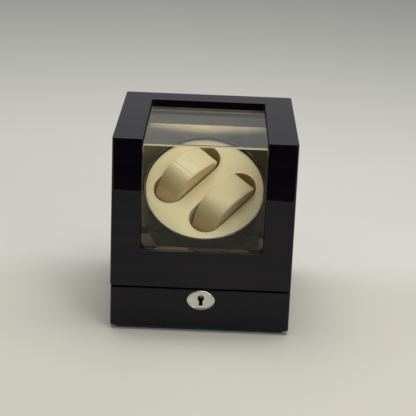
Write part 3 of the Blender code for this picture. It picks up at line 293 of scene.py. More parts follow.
def loft(rings_of_points):
    bm = bmesh.new()
    rings = [[bm.verts.new(point) for point in ring] for ring in rings_of_points]
    bridge(bm, rings)
    bm.faces.new(rings[0])
    bm.faces.new(rings[-1])
    bmesh.ops.recalc_face_normals(bm, faces=bm.faces)
    return bm


# ---------------------------------------------------------------- objects


def new_object(name, bm, finish, matrix=None):
    mesh = bpy.data.meshes.new(name)
    bm.to_mesh(mesh)
    bm.free()
    mesh.materials.append(finish)
    made = bpy.data.objects.new(name, mesh)
    bpy.context.scene.collection.objects.link(made)
    if matrix is not None:
        mesh.transform(matrix)
    return made


def cut(target, *shapes, operation="DIFFERENCE"):
    """Cuts closed shapes from an object, one at a time."""
    for shape in shapes:
        tool = new_object("cutter", shape, target.data.materials[0])
        modifier = target.modifiers.new("cut", "BOOLEAN")
        modifier.operation = operation
        modifier.solver = "EXACT"
        modifier.object = tool
        apply_modifiers(target)
        bpy.data.objects.remove(tool)


def apply_modifiers(target):
    graph = bpy.context.evaluated_depsgraph_get()
    graph.update()
    mesh = bpy.data.meshes.new_from_object(target.evaluated_get(graph))
    target.modifiers.clear()
    old = target.data
    target.data = mesh
    bpy.data.meshes.remove(old)


def bevelled(target, width, segments, angle=40):
    modifier = target.modifiers.new("edges", "BEVEL")
    modifier.width = width
    modifier.segments = segments
    modifier.limit_method = "ANGLE"
    modifier.angle_limit = math.radians(angle)
    apply_modifiers(target)


def smooth(target, angle=32):
    target.data.shade_smooth()
    target.data.set_sharp_from_angle(angle=math.radians(angle))


def flat_shaded_faces(target):
    """Keeps large flat faces even, so that a gloss on them mirrors without waves."""
    modifier = target.modifiers.new("even", "WEIGHTED_NORMAL")
    modifier.mode = "FACE_AREA"
    modifier.weight = 100
    modifier.keep_sharp = True


def shading_group():
    """Shades smooth but keeps edges over an angle sharp."""
    group = bpy.data.node_groups.new("smooth_by_angle", "GeometryNodeTree")
    group.interface.new_socket("Geometry", in_out="INPUT", socket_type="NodeSocketGeometry")
    group.interface.new_socket("Geometry", in_out="OUTPUT", socket_type="NodeSocketGeometry")
    new = group.nodes.new
    start, end = new("NodeGroupInput"), new("NodeGroupOutput")
    faces, edges = new("GeometryNodeSetShadeSmooth"), new("GeometryNodeSetShadeSmooth")
    edges.domain = "EDGE"
    edges.inputs["Shade Smooth"].default_value = False
    angle, over = new("GeometryNodeInputMeshEdgeAngle"), new("FunctionNodeCompare")
    over.operation = "GREATER_THAN"
    over.inputs["B"].default_value = math.radians(32)
    link = group.links.new
    link(start.outputs[0], faces.inputs["Geometry"])
    link(faces.outputs[0], edges.inputs["Geometry"])
    link(angle.outputs["Unsigned Angle"], over.inputs["A"])
    link(over.outputs[0], edges.inputs["Selection"])
    link(edges.outputs[0], end.inputs[0])
    return group


def dress(name, finish, edge=0.0):
    """Gives a CAD node its finish, welded smooth shading and, where asked, a small edge radius."""
    target = nodes[name]
    mesh = target.data
    if mesh.attributes.get("custom_normal"):
        mesh.attributes.remove(mesh.attributes["custom_normal"])
    mesh.shade_smooth()
    mesh.materials.clear()
    mesh.materials.append(finish)
    weld = target.modifiers.new("weld", "WELD")
    weld.merge_threshold = 0.01 * MM
    if edge:
        modifier = target.modifiers.new("edges", "BEVEL")
        modifier.width = edge
        modifier.segments = 2
        modifier.limit_method = "ANGLE"
        modifier.angle_limit = math.radians(50)
    shading = target.modifiers.new("shading", "NODES")
    shading.node_group = SMOOTH_BY_ANGLE
    flat_shaded_faces(target)


SMOOTH_BY_ANGLE = shading_group()


# ---------------------------------------------------------------- materials


class Shader:
    """A Principled material with short calls for the nodes around it."""

    def __init__(self, name, **values):
        self.material = bpy.data.materials.new(name)
        self.material.use_nodes = True
        self.tree = self.material.node_tree
        self.principled = self.tree.nodes["Principled BSDF"]
        self.output = self.tree.nodes["Material Output"]
        for socket, value in values.items():
            self.principled.inputs[socket.replace("_", " ")].default_value = value
        self.place = self.new("ShaderNodeTexCoord").outputs["Object"]

    def new(self, kind, **settings):
        node = self.tree.nodes.new(kind)
        for key, value in settings.items():
            setattr(node, key, value)
        return node

    def put(self, value, socket):
        if isinstance(value, bpy.types.NodeSocket):
            self.tree.links.new(value, socket)
        else:
            socket.default_value = value

    def math(self, operation, *values):
        node = self.new("ShaderNodeMath", operation=operation)
        for value, socket in zip(values, node.inputs):
            self.put(value, socket)
        return node.outputs[0]

    def stretch(self, scale):
        node = self.new("ShaderNodeMapping")
        self.put(self.place, node.inputs["Vector"])
        node.inputs["Scale"].default_value = scale
        return node.outputs[0]

    def noise(self, scale, place=None, *, detail, roughness=0.5, distortion=0.0):
        node = self.new("ShaderNodeTexNoise")
        self.put(place or self.place, node.inputs["Vector"])
        node.inputs["Scale"].default_value = scale
        node.inputs["Detail"].default_value = detail
        node.inputs["Roughness"].default_value = roughness
        node.inputs["Distortion"].default_value = distortion
        return node.outputs["Fac"]

    def cells(self, scale, place, feature, randomness=1.0, output="Distance"):
        node = self.new("ShaderNodeTexVoronoi", feature=feature)
        self.put(place, node.inputs["Vector"])
        node.inputs["Scale"].default_value = scale
        node.inputs["Randomness"].default_value = randomness
        return node.outputs[output]

    def ramp(self, value, *stops):
        node = self.new("ShaderNodeValToRGB")
        self.put(value, node.inputs["Fac"])
        ramp = node.color_ramp
        while len(ramp.elements) < len(stops):
            ramp.elements.new(0.5)
        for element, (position, colour) in zip(ramp.elements, stops):
            element.position = position
            shade = colour if isinstance(colour, tuple) else (colour,) * 3
            element.color = (*shade, 1.0)
        return node.outputs["Color"]

    def range(self, value, low, high, to_low, to_high):
        node = self.new("ShaderNodeMapRange")
        self.put(value, node.inputs["Value"])
        limits = {"From Min": low, "From Max": high, "To Min": to_low, "To Max": to_high}
        for socket, number in limits.items():
            node.inputs[socket].default_value = number
        return node.outputs["Result"]

    def blend(self, share, one, other):
        node = self.new("ShaderNodeMix", data_type="RGBA")
        sockets = [s for s in node.inputs if s.type == "RGBA"]
        self.put(share, node.inputs["Factor"])
        for value, socket in zip((one, other), sockets):
            self.put((*value, 1.0) if isinstance(value, tuple) else value, socket)
        return next(s for s in node.outputs if s.type == "RGBA")

    def split(self, vector):
        node = self.new("ShaderNodeSeparateXYZ")
        self.put(vector, node.inputs[0])
        return node.outputs

    def join(self, x, y, z):
        node = self.new("ShaderNodeCombineXYZ")
        for value, socket in zip((x, y, z), node.inputs):
            self.put(value, socket)
        return node.outputs[0]

    def bump(self, height, distance, strength, over=None):
        node = self.new("ShaderNodeBump")
        self.put(height, node.inputs["Height"])
        node.inputs["Distance"].default_value = distance
        node.inputs["Strength"].default_value = strength
        if over is not None:
            self.put(over, node.inputs["Normal"])
        return node.outputs[0]

    def set(self, **sockets):
        for socket, value in sockets.items():
            self.put(value, self.principled.inputs[socket.replace("_", " ")])
        return self.material


def ebony_lacquer():
    """Near-black veneer with faint red-brown streaks along the grain, under a polished clear coat."""
    s = Shader(
        "ebony_lacquer_gloss",
        Roughness=0.42,
        Specular_IOR_Level=0.0,
        Coat_Weight=1.0,
        Coat_Roughness=0.018,
        Coat_IOR=1.33,
    )
    x, y, z = s.split(s.place)
    normal = s.split(s.new("ShaderNodeNewGeometry").outputs["Normal"])
    flat = s.math("POWER", s.math("ABSOLUTE", normal[2]), 4.0)
    side = s.math("POWER", s.math("ABSOLUTE", normal[0]), 4.0)
    upright = s.math("SUBTRACT", 1.0, flat)
    facing = s.math("SUBTRACT", 1.0, side)
    across = s.math("ADD", s.math("MULTIPLY", z, upright), s.math("MULTIPLY", y, flat))
    along = s.math("ADD", s.math("MULTIPLY", x, facing), s.math("MULTIPLY", y, side))
    grain = s.join(s.math("MULTIPLY", along, 9.0), s.math("MULTIPLY", across, 150.0), side)
    streak = s.noise(1.0, grain, detail=4.0, roughness=0.62, distortion=0.25)
    hairs = s.join(s.math("MULTIPLY", along, 40.0), s.math("MULTIPLY", across, 1100.0), side)
    fine = s.noise(1.0, hairs, detail=2.0)
    patch = s.noise(14.0, detail=2.0)
    wood = s.ramp(
        streak,
        (0.40, (0.0034, 0.0027, 0.0060)),
        (0.56, (0.0058, 0.0046, 0.0074)),
        (0.74, (0.0120, 0.0074, 0.0090)),
    )
    wood = s.blend(s.range(fine, 0.35, 0.70, 0.0, 0.45), wood, (0.0026, 0.0021, 0.0042))
    wood = s.blend(s.range(patch, 0.35, 0.65, 0.0, 0.5), wood, (0.0040, 0.0033, 0.0062))
    s.set(Base_Color=wood)
    ripple = s.noise(60.0, detail=1.0)
    s.set(Coat_Normal=s.bump(ripple, 0.00002, 0.35))
    return s.material


def felt():
    s = Shader(
        "dark_felt_fibres",
        Roughness=0.95,
        Specular_IOR_Level=0.1,
        Sheen_Weight=0.35,
        Sheen_Roughness=0.6,
    )
    fibres = s.noise(2600.0, detail=3.0, roughness=0.7, distortion=1.2)
    tufts = s.noise(420.0, detail=2.0)
    colour = s.ramp(fibres, (0.30, (0.010, 0.020, 0.036)), (0.72, (0.040, 0.072, 0.115)))
    s.set(Base_Color=s.blend(s.range(tufts, 0.3, 0.7, 0.0, 0.4), colour, (0.014, 0.026, 0.044)))
    s.set(Normal=s.bump(fibres, 0.0004, 0.8))
    return s.material


def velvet(name, dark, light, deep):
    """Short-pile velvet: soft mottling where the nap leans, and a light rim at a slant."""
    s = Shader(
        name,
        Roughness=0.92,
        Specular_IOR_Level=0.1,
        Sheen_Weight=0.30,
        Sheen_Roughness=0.45,
        Sheen_Tint=(1.0, 0.93, 0.72, 1.0),
    )
    nap = s.noise(38.0, detail=4.0, roughness=0.6, distortion=0.6)
    pile = s.noise(3400.0, detail=2.0, roughness=0.7)
    colour = s.ramp(nap, (0.32, dark), (0.68, light))
    colour = s.blend(s.range(pile, 0.3, 0.75, 0.32, 0.0), colour, deep)
    s.set(Base_Color=colour)
    s.set(Normal=s.bump(pile, 0.00025, 0.6))
    return s.material


def face_cloth():
    """Cream suede paper of the drum's face, with a very fine tooth."""
    s = Shader(
        "cream_face_suede",
        Roughness=0.72,
        Specular_IOR_Level=0.25,
        Sheen_Weight=0.12,
        Sheen_Roughness=0.5,
    )
    tooth = s.noise(2600.0, detail=3.0, roughness=0.65)
    mottle = s.noise(55.0, detail=3.0)
    colour = s.ramp(mottle, (0.34, (0.800, 0.680, 0.385)), (0.66, (0.845, 0.722, 0.418)))
    colour = s.blend(s.range(tooth, 0.30, 0.72, 0.14, 0.0), colour, (0.60, 0.49, 0.27))
    s.set(Base_Color=colour)
    s.set(Normal=s.bump(tooth, 0.00012, 0.5))
    return s.material


def leatherette(name, dark, light, crack):
    """Fine-pebbled cream leatherette: small irregular cells, a soft gloss and slightly darker valleys."""
    s = Shader(name, Specular_IOR_Level=0.5, Sheen_Weight=0.05, Coat_Weight=0.25, Coat_Roughness=0.3)
    warp = s.noise(180.0, detail=2.0)
    grain = s.cells(1500.0, s.place, "DISTANCE_TO_EDGE")
    pores = s.noise(5200.0, detail=1.0)
    wear = s.noise(48.0, detail=4.0, roughness=0.6, distortion=0.4)
    colour = s.ramp(wear, (0.32, dark), (0.70, light))
    valley = s.range(grain, 0.0, 0.09, 0.30, 0.0)
    s.set(Base_Color=s.blend(valley, colour, crack))
    s.set(Roughness=s.range(wear, 0.3, 0.7, 0.50, 0.40))
    height = s.math("ADD", s.range(grain, 0.0, 0.16, 0.0, 1.0), s.math("MULTIPLY", pores, 0.25))
    s.set(Normal=s.bump(warp, 0.0003, 0.25, over=s.bump(height, 0.00006, 0.7)))
    return s.material


def gloss_plastic(name, colour, roughness, gloss=0.5):
    s = Shader(name, Specular_IOR_Level=gloss)
    swirl = s.noise(900.0, detail=3.0, roughness=0.7)
    haze = s.noise(45.0, detail=3.0)
    darker = tuple(c * 0.72 for c in colour)
    s.set(Base_Color=s.ramp(haze, (0.35, darker), (0.68, colour)))
    s.set(Roughness=s.range(swirl, 0.35, 0.70, roughness, roughness * 1.7 + 0.02))
    s.set(Normal=s.bump(s.noise(160.0, detail=1.0), 0.00003, 0.3))
    return s.material


def metal(name, colour, roughness, brushed, tarnish=0.25):
    """Metal with fine brush lines along one direction and a little uneven tarnish."""
    s = Shader(name, Metallic=1.0)
    lines = s.noise(2200.0, s.stretch(brushed), detail=3.0, roughness=0.7)
    stain = s.noise(110.0, detail=4.0, roughness=0.65)
    darker = tuple(c * (1 - tarnish) for c in colour)
    tone = s.ramp(stain, (0.36, darker), (0.66, colour))
    groove = tuple(c * 0.6 for c in colour)
    s.set(Base_Color=s.blend(s.range(lines, 0.35, 0.7, 0.22, 0.0), tone, groove))
    s.set(Roughness=s.range(lines, 0.3, 0.7, roughness, roughness * 1.6))
    s.set(Normal=s.bump(lines, 0.00002, 0.35))
    return s.material


def fibreboard():
    s = Shader("fibreboard_raw", Roughness=0.88, Specular_IOR_Level=0.2)
    fibres = s.noise(900.0, s.stretch((1.0, 1.0, 6.0)), detail=4.0, roughness=0.75)
    colour = s.ramp(fibres, (0.30, (0.17, 0.105, 0.055)), (0.70, (0.38, 0.265, 0.155)))
    s.set(Base_Color=colour, Normal=s.bump(fibres, 0.0002, 0.6))
    return s.material


def circuit_board():
    s = Shader("board_green_mask", Roughness=0.35, Specular_IOR_Level=0.5)
    x, y, z = s.split(s.place)
    cell = s.cells(190.0, s.join(x, y, 0.0), "F1", 0.4, "Color")
    copper = s.noise(420.0, s.stretch((1.0, 0.05, 1.0)), detail=1.0)
    tracks = s.ramp(copper, (0.52, 0.0), (0.56, 1.0))
    colour = s.blend(s.math("MULTIPLY", tracks, 0.5), (0.010, 0.085, 0.035), (0.030, 0.190, 0.080))
    above = s.range(z, BOTTOM + 10.2 * MM, BOTTOM + 10.6 * MM, 0.0, 1.0)
    parts = s.ramp(cell, (0.0, (0.012, 0.012, 0.014)), (1.0, (0.060, 0.058, 0.055)))
    s.set(Base_Color=s.blend(above, colour, parts), Normal=s.bump(tracks, 0.00003, 0.5))
    return s.material


def acrylic(name, index):
    """Clear polished sheet: each face mirrors by the angle it is seen at and lets the rest through."""
    s = Shader(name)
    s.tree.nodes.remove(s.principled)
    facing = s.new("ShaderNodeNewGeometry").outputs["Backfacing"]
    fresnel = s.new("ShaderNodeFresnel")
    s.put(s.range(facing, 0.0, 1.0, index, 1 / index), fresnel.inputs["IOR"])
    through = s.new("ShaderNodeBsdfTransparent")
    dust = s.noise(320.0, detail=3.0)
    tint = s.ramp(dust, (0.3, (0.965, 0.972, 0.968)), (0.7, (0.985, 0.990, 0.988)))
    s.put(tint, through.inputs["Color"])
    mirror = s.new("ShaderNodeBsdfGlossy")
    mirror.inputs["Color"].default_value = (1, 1, 1, 1)
    mirror.inputs["Roughness"].default_value = 0.01
    mix = s.new("ShaderNodeMixShader")
    s.put(fresnel.outputs[0], mix.inputs[0])
    s.put(through.outputs[0], mix.inputs[1])
    s.put(mirror.outputs[0], mix.inputs[2])
    s.put(mix.outputs[0], s.output.inputs["Surface"])
    return s.material


def acrylic_edge(name, colour, glow):
    """The sawn and flame-polished edge of the sheet, coloured with painted shade, and given a painted glow
    where glow is set.
    """
    s = Shader(name, Roughness=0.22, Specular_IOR_Level=0.5)
    saw = s.noise(1600.0, s.stretch((0.08, 1.0, 1.0)), detail=2.0)
    s.set(Base_Color=s.ramp(saw, (0.3, tuple(c * 0.8 for c in colour)), (0.7, colour)))
    s.set(Normal=s.bump(saw, 0.00004, 0.4))
    s.principled.inputs["Emission Color"].default_value = (*colour, 1.0)
    s.principled.inputs["Emission Strength"].default_value = glow
    return s.material


def plain_floor():
    s = Shader("pale_floor", Roughness=0.85, Specular_IOR_Level=0.15)
    y = s.split(s.place)[1]
    zone = s.range(y, REAR_Y - 60 * MM, REAR_Y + 20 * MM, 0.0, 1.0)
    colour = s.blend(zone, (0.640, 0.625, 0.545), (0.700, 0.695, 0.645))
    cloud = s.range(s.noise(9.0, detail=3.0), 0.3, 0.7, 0.05, 0.0)
    s.set(Base_Color=s.blend(cloud, colour, (0.54, 0.53, 0.46)))
    return s.material


WOOD = ebony_lacquer()
FELT = felt()
VELVET = velvet("beige_velvet_pile", (0.46, 0.385, 0.225), (0.60, 0.515, 0.315), (0.30, 0.245, 0.14))
# A darker copy of the beige velvet for the roof opening's walls below the top pane: painted shade.
VELVET_PAINTED_SHADE = velvet("olive_velvet_painted_shade", (0.34, 0.29, 0.17), (0.45, 0.39, 0.24), (0.22, 0.18, 0.10))
SUEDE = face_cloth()
LEATHER = leatherette(
    "cream_leatherette_grain", (0.725, 0.590, 0.310), (0.780, 0.645, 0.350), (0.52, 0.41, 0.20)
)
# A darker cream leatherette, for the lower cushion.
DARKER_LEATHER = leatherette(
    "cream_leatherette_darker", (0.630, 0.510, 0.250), (0.690, 0.565, 0.290), (0.45, 0.35, 0.16)
)
# A darker copy of the cream for the tray's walls and floor inside the slot: painted shade in the recess.
TRAY_PAINTED_SHADE = leatherette("cream_tray_painted_shade", (0.56, 0.43, 0.21), (0.62, 0.485, 0.245), (0.40, 0.30, 0.14))
BLACK = gloss_plastic("black_plastic_gloss", (0.0085, 0.0060, 0.0070), 0.08, 0.5)
MATT_BLACK = gloss_plastic("black_plastic_satin", (0.022, 0.022, 0.023), 0.34)
STEEL = metal("zinc_steel_brushed", (0.50, 0.50, 0.51), 0.30, (1.0, 0.12, 1.0))
# Near-black steel for the lock case: painted shade for the dark inside of the keyhole.
LOCK_STEEL_PAINTED_SHADE = metal("lock_steel_painted_shade", (0.060, 0.058, 0.058), 0.45, (1.0, 0.12, 1.0))
MATT_LACQUER = gloss_plastic("ebony_lacquer_matt_edge", (0.0070, 0.0055, 0.0080), 0.60, 0.1)
SILVER = metal("silver_plate_polished", (0.72, 0.73, 0.68), 0.16, (0.10, 1.0, 1.0), 0.10)
BRASS = metal("hinge_brass_brushed", (0.66, 0.50, 0.25), 0.24, (0.10, 1.0, 1.0))
RUBBER = gloss_plastic("black_rubber_matt", (0.020, 0.020, 0.021), 0.62, 0.3)
BOARD = fibreboard()
GREEN = circuit_board()
TOP_ACRYLIC = acrylic("clear_acrylic_sheet", 1.36)
FRONT_ACRYLIC = acrylic("clear_acrylic_coated", 1.28)
# The top pane's front edge: a bright colour and a glow though it is no lamp, painted highlight and painted
# glow.
EDGE_PAINTED_GLOW = acrylic_edge("acrylic_edge_painted_glow", (0.72, 0.64, 0.40), 0.35)
# The front pane's top and bottom edges: a near-black colour, painted shade.
EDGE_PAINTED_SHADE = acrylic_edge("acrylic_edge_painted_shade", (0.045, 0.040, 0.038), 0.0)


# ---------------------------------------------------------------- case


def hinge_boxes():
    shapes = []
    for side in (-1, 1):
        low = (side * HINGE_X - HINGE_HALF - FIT, REAR_Y - LEAF_DEPTH - FIT, SEAM_Z - LEAF_ROOM)
        high = (side * HINGE_X + HINGE_HALF + FIT, REAR_Y + THROUGH, SEAM_Z + LEAF_ROOM)
        shapes.append(box(low, high))
        barrel = [(HINGE_AXIS.y + a, HINGE_AXIS.z + b) for a, b in circle(BARREL_ROOM, BARREL_STEPS)]
        shapes.append(prism(barrel, low[0], high[0], "X"))
    return shapes


def make_lid():
    low, high = LID_LOW, LID_HIGH
    outline = rounded_box((low.x, low.y), (high.x, high.y), CORNER_R)
    shell = new_object("lid_case", prism(outline, low.z, high.z), WOOD)
    inner = (high.x - WALL, high.y - WALL, high.z - WALL)
    cut(shell, box((low.x + WALL, low.y + WALL, low.z - THROUGH), inner))
    half = WINDOW_HALF_W
    sill = FRONT_PANE_LOW.z - PANE_GAP
    front = rounded_box((-half, sill), (half, high.z + WINDOW_OPEN), WINDOW_CORNER_R)
    cut(shell, prism(front, low.y - THROUGH, low.y + WALL + 2 * THROUGH, "Y"))
    window_rear = (half, TOP_PANE_HIGH.y + PANE_GAP)
    top = rounded_box((-half, low.y - WINDOW_OPEN), window_rear, WINDOW_REAR_R)
    cut(shell, prism(top, high.z - WALL - 2 * THROUGH, high.z + THROUGH))
    bevelled(shell, LID_EDGE, 5)
    cut(shell, *hinge_boxes())
    room_low = (LOCK_X - STRIKE_HALF - FIT, low.y + CASE_NEAR - FIT, low.z - THROUGH)
    room_high = (LOCK_X + STRIKE_HALF + FIT, low.y + STRIKE_FAR, low.z + STRIKE_ROOM)
    cut(shell, box(room_low, room_high))
    line_window_edge(shell)
    smooth(shell)
    flat_shaded_faces(shell)
    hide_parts("lid_shell")
    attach(shell, "lid")


def line_window_edge(shell):
    """Finishes the window's edge: a darker velvet in the roof's opening below the top pane, which paints the
    shade there, and matt sides.
    """
    level = TOP_PANE_LOW.z
    mesh = shell.data
    bm = bmesh.new()
    bm.from_mesh(mesh)
    parts = [*bm.verts, *bm.edges, *bm.faces]
    bmesh.ops.bisect_plane(bm, geom=parts, plane_co=(0, 0, level), plane_no=(0, 0, 1))
    bm.to_mesh(mesh)
    bm.free()
    painted_shade_slot = len(mesh.materials)
    mesh.materials.append(VELVET_PAINTED_SHADE)
    matt = len(mesh.materials)
    mesh.materials.append(MATT_LACQUER)
    roof_low = LID_HIGH.z - WALL - 0.1 * MM
    room_x = FRONT_PANE_HIGH.x + 1.5 * MM
    room_y = TOP_PANE_HIGH.y + 1.5 * MM
    near = 0.4 * MM
    for face in mesh.polygons:
        middle = face.center
        inside = abs(middle.x) < room_x and FRONT_PANE_HIGH.y < middle.y < room_y
        if inside and roof_low < middle.z < level and abs(face.normal.z) < 0.5:
            face.material_index = painted_shade_slot
        elif abs(abs(middle.x) - WINDOW_HALF_W) < near and abs(face.normal.x) > 0.7:
            face.material_index = matt


def make_base():
    low, high = BASE_LOW, BASE_HIGH
    outline = rounded_box((low.x, low.y), (high.x, high.y), CORNER_R)
    shell = new_object("base_case", prism(outline, low.z, high.z), WOOD)
    inner = LID_HIGH.x - WALL
    room_low = (-inner, low.y + WALL, low.z - THROUGH)
    cut(shell, box(room_low, (inner, high.y - WALL, high.z + THROUGH)))
    bevelled(shell, BASE_EDGE, 4)
    cut(shell, *hinge_boxes())
    pocket_low = (LOCK_X - CASE_HALF - FIT, low.y + CASE_NEAR - FIT, BOTTOM + CASE_LOW - FIT)
    pocket_high = (LOCK_X + CASE_HALF + FIT, low.y + WALL + THROUGH, high.z + THROUGH)
    cut(shell, box(pocket_low, pocket_high))
    half_w, half_h = PLATE_HALF_W + PLATE_MARGIN, PLATE_HALF_H + PLATE_MARGIN
    seat = ellipse((LOCK_X, PLATE_Z), half_w, half_h, PLATE_STEPS)
    cut(shell, prism(seat, low.y - THROUGH, low.y + PLATE_SEAT, "Y"))
    cut(shell, prism(keyhole(), low.y - THROUGH, low.y + CASE_NEAR, "Y"))
    plate_low, plate_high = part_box("control_plate")
    middle = (plate_low.x + plate_high.x) / 2
    opening_low = (middle - CONTROLS_HALF_W, BOTTOM + CONTROLS_LOW)
    opening_high = (middle + CONTROLS_HALF_W, BOTTOM + CONTROLS_TOP)
    opening = rounded_box(opening_low, opening_high, CONTROLS_CORNER_R)
    cut(shell, prism(opening, high.y - WALL - THROUGH, high.y + THROUGH, "Y"))
    smooth(shell)
    flat_shaded_faces(shell)
    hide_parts("base_shell")
    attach(shell, "base")


def make_escutcheon():
    """Oval plate with a raised, rounded rim round a flat field, and a keyhole with a soft lip."""
    back = PLATE_HIGH.y
    near = PLATE_LOW.y
    # Inset from the outline in millimetres, and the place along Y
    sections = [
        (0.00, back),
        (0.00, FRONT_Y - 0.35 * MM),
        (0.15, FRONT_Y - 0.70 * MM),
        (0.45, near + 0.10 * MM),
        (0.85, near),
        (1.15, near + 0.06 * MM),
        (1.45, near + 0.28 * MM),
        (1.70, near + 0.36 * MM),
        (3.50, near + 0.30 * MM),
    ]
    rings = []
    for inset, y in sections:
        half_w, half_h = PLATE_HALF_W - inset * MM, PLATE_HALF_H - inset * MM
        outline = ellipse((LOCK_X, PLATE_Z), half_w, half_h, PLATE_STEPS)
        rings.append([(x, y, z) for x, z in outline])
    plate = new_object("escutcheon_plate", loft(rings), SILVER)
    cut(plate, prism(keyhole(), near - THROUGH, back + THROUGH, "Y"))
    bevelled(plate, 0.18 * MM, 3, 60)
    smooth(plate, 40)
    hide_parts("escutcheon")
    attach(plate, "base")


# ---------------------------------------------------------------- drum


def slot_matrix(side):
    place = Vector((-math.sin(SLOT_TURN), math.cos(SLOT_TURN), 0)) * SLOT_OFFSET * side
    return DRUM @ Matrix.Translation(place) @ Matrix.Rotation(SLOT_TURN, 4, "Z")


def make_cup():
    inner = DRUM_R - DRUM_WALL
    back = -DRUM_DEPTH
    bead = DRUM_WALL / 2
    crest = arc((DRUM_R - bead, 0), bead, 0, math.pi, 16)
    lip = [(radius, DRUM_LIP - bead + height) for radius, height in crest]
    profile = [
        (DRUM_R - 0.6 * MM, back),
        (DRUM_R - 0.18 * MM, back + 0.2 * MM),
        (DRUM_R, back + 0.6 * MM),
        *lip,
        (inner, back + 2.9 * MM),
        (inner - 0.4 * MM, back + 2.5 * MM),
        (SHAFT_ROOM, back + 2.5 * MM),
        (SHAFT_ROOM, back),
    ]
    cup = new_object("drum_shell", lathe(profile, DRUM_STEPS, closed=True), BLACK, DRUM)
    smooth(cup, 38)
    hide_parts("drum_cup")
    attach(cup, "drum")


def make_face():
    radius = DRUM_R - DRUM_WALL - FIT
    profile = [
        (0, -FACE),
        (radius, -FACE),
        (radius, -0.5 * MM),
        (radius - 0.15 * MM, -0.15 * MM),
        (radius - 0.5 * MM, 0),
        (0, 0),
    ]
    face = new_object("drum_disc", lathe(profile, DRUM_STEPS), SUEDE, DRUM)
    for side in (1, -1):
        outline = obround(SLOT_HALF_SPAN, SLOT_R + LINER_WALL + FIT)
        hole = prism(outline, -FACE - THROUGH, THROUGH)
        hole.transform(slot_matrix(side))
        cut(face, hole)
    smooth(face)
    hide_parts("drum_face")
    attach(face, "drum")


def make_tray(name, side):
    """A moulded tray with a rolled rim that lies on the face."""
    wall = SLOT_R + LINER_WALL
    rim = wall + LINER_FLANGE
    profile = [
        (wall - 1.5 * MM, -LINER_DEPTH - LINER_WALL),
        (wall - 0.3 * MM, -LINER_DEPTH - LINER_WALL + 0.4 * MM),
        (wall, -LINER_DEPTH + 0.6 * MM),
        (wall, 0.01 * MM),
        (rim, 0.01 * MM),
        (rim - 0.02 * MM, 0.03 * MM),
        (rim - 0.5 * MM, 0.12 * MM),
        (rim - 1.0 * MM, 0.30 * MM),
        (rim - 1.5 * MM, 0.52 * MM),
        (SLOT_R + 0.75 * MM, 0.62 * MM),
        (SLOT_R + 0.40 * MM, 0.54 * MM),
        (SLOT_R + 0.12 * MM, 0.30 * MM),
        (SLOT_R, -0.1 * MM),
        (SLOT_R, -LINER_DEPTH + 2.5 * MM),
        (SLOT_R - 0.6 * MM, -LINER_DEPTH + 0.7 * MM),
        (SLOT_R - 2.2 * MM, -LINER_DEPTH),
    ]
    rings = []
    for radius, height in profile:
        rings.append([(x, y, height) for x, y in obround(SLOT_HALF_SPAN, radius)])
    tray = new_object(f"slot_tray_{name}", loft(rings), TRAY_PAINTED_SHADE)
    tray.data.materials.append(SUEDE)
    for face in tray.data.polygons:
        # The rim's top takes the face's suede; the walls and floor keep the darker cream, painted shade in
        # the recess.
        face.material_index = int(face.center.z > -0.2 * MM and face.normal.z > 0.05)
    tray.data.transform(slot_matrix(side))
    smooth(tray, 50)
    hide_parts(f"slot_liner_{name}")
    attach(tray, "drum")


def pillow_outline(tip_x):
    """Side view of a cushion, in millimetres: a crown that peaks off centre, a blunt nose and a thin tip."""
    tip, peak, nose = (tip_x, 4.5), (-7.0, 17.6), (-26.2, 1.5)
    toe, heel, sole = (-32.6, -13.0), (-26.0, -20.0), (tip_x - 8.4, -20.0)
    points = [tip]
    points += bezier(tip, (19.0, 11.0), (6.0, 17.0), peak, 14)
    points += bezier(peak, (-15.0, 18.0), (-22.5, 11.5), nose, 12)
    points += bezier(nose, (-28.5, -4.0), (-31.6, -8.0), toe, 6)
    points += bezier(toe, (-33.2, -17.5), (-30.5, -20.0), heel, 6)
    points.append(sole)
    points.append((tip_x - 4.4, -7.0))
    return [(x * MM, z * MM) for x, z in points]


def pillow_plan(radius):
    """Plan of a cushion: square at the tip, and rounded at the nose to sit in the end of its slot."""
    reach = radius + SLOT_HALF_SPAN
    nose = arc((-SLOT_HALF_SPAN, 0), radius, math.pi / 2, 3 * math.pi / 2, 32)
    return [*nose, (reach, -radius), (reach, radius)]


def padded_block(tip_x, tilt, leather):
    """The cushion before it is filled: its side view across the width, with softened edges."""
    low, high = PILLOW_LOW_SIDE + PILLOW_INSET, PILLOW_HIGH_SIDE - PILLOW_INSET
    shape = prism(pillow_outline(tip_x), low, high, "Y")
    block = new_object("padded_block", shape, leather, tilt)
    plan = prism(pillow_plan(PILLOW_NOSE_R - PILLOW_INSET), -PILLOW_REACH, PILLOW_REACH)
    cut(block, plan, operation="INTERSECT")
    bevelled(block, PILLOW_EDGE, 3, 35)
    return block


def fill(target):
    """Remeshes a closed shape and lets a cloth simulation swell it by a limited amount."""
    remesh = target.modifiers.new("remesh", "REMESH")
    remesh.mode = "VOXEL"
    remesh.voxel_size = PILLOW_VOXEL
    apply_modifiers(target)
    start = [vertex.co.copy() for vertex in target.data.vertices]
    cloth = target.modifiers.new("fill", "CLOTH")
    settings = cloth.settings
    settings.quality = 6
    settings.mass = 0.15
    settings.tension_stiffness = 25
    settings.compression_stiffness = 25
    settings.shear_stiffness = 12
    settings.bending_stiffness = 2.0
    settings.use_pressure = True
    settings.uniform_pressure_force = PILLOW_PRESSURE
    settings.effector_weights.gravity = 0.0
    cloth.collision_settings.use_collision = False
    scene = bpy.context.scene
    for number in range(1, PILLOW_FRAMES + 1):
        scene.frame_set(number)
    apply_modifiers(target)
    scene.frame_set(1)
    for vertex, before in zip(target.data.vertices, start):
        shift = vertex.co - before
        if shift.length > PILLOW_SWELL:
            vertex.co = before + shift * (PILLOW_SWELL / shift.length)


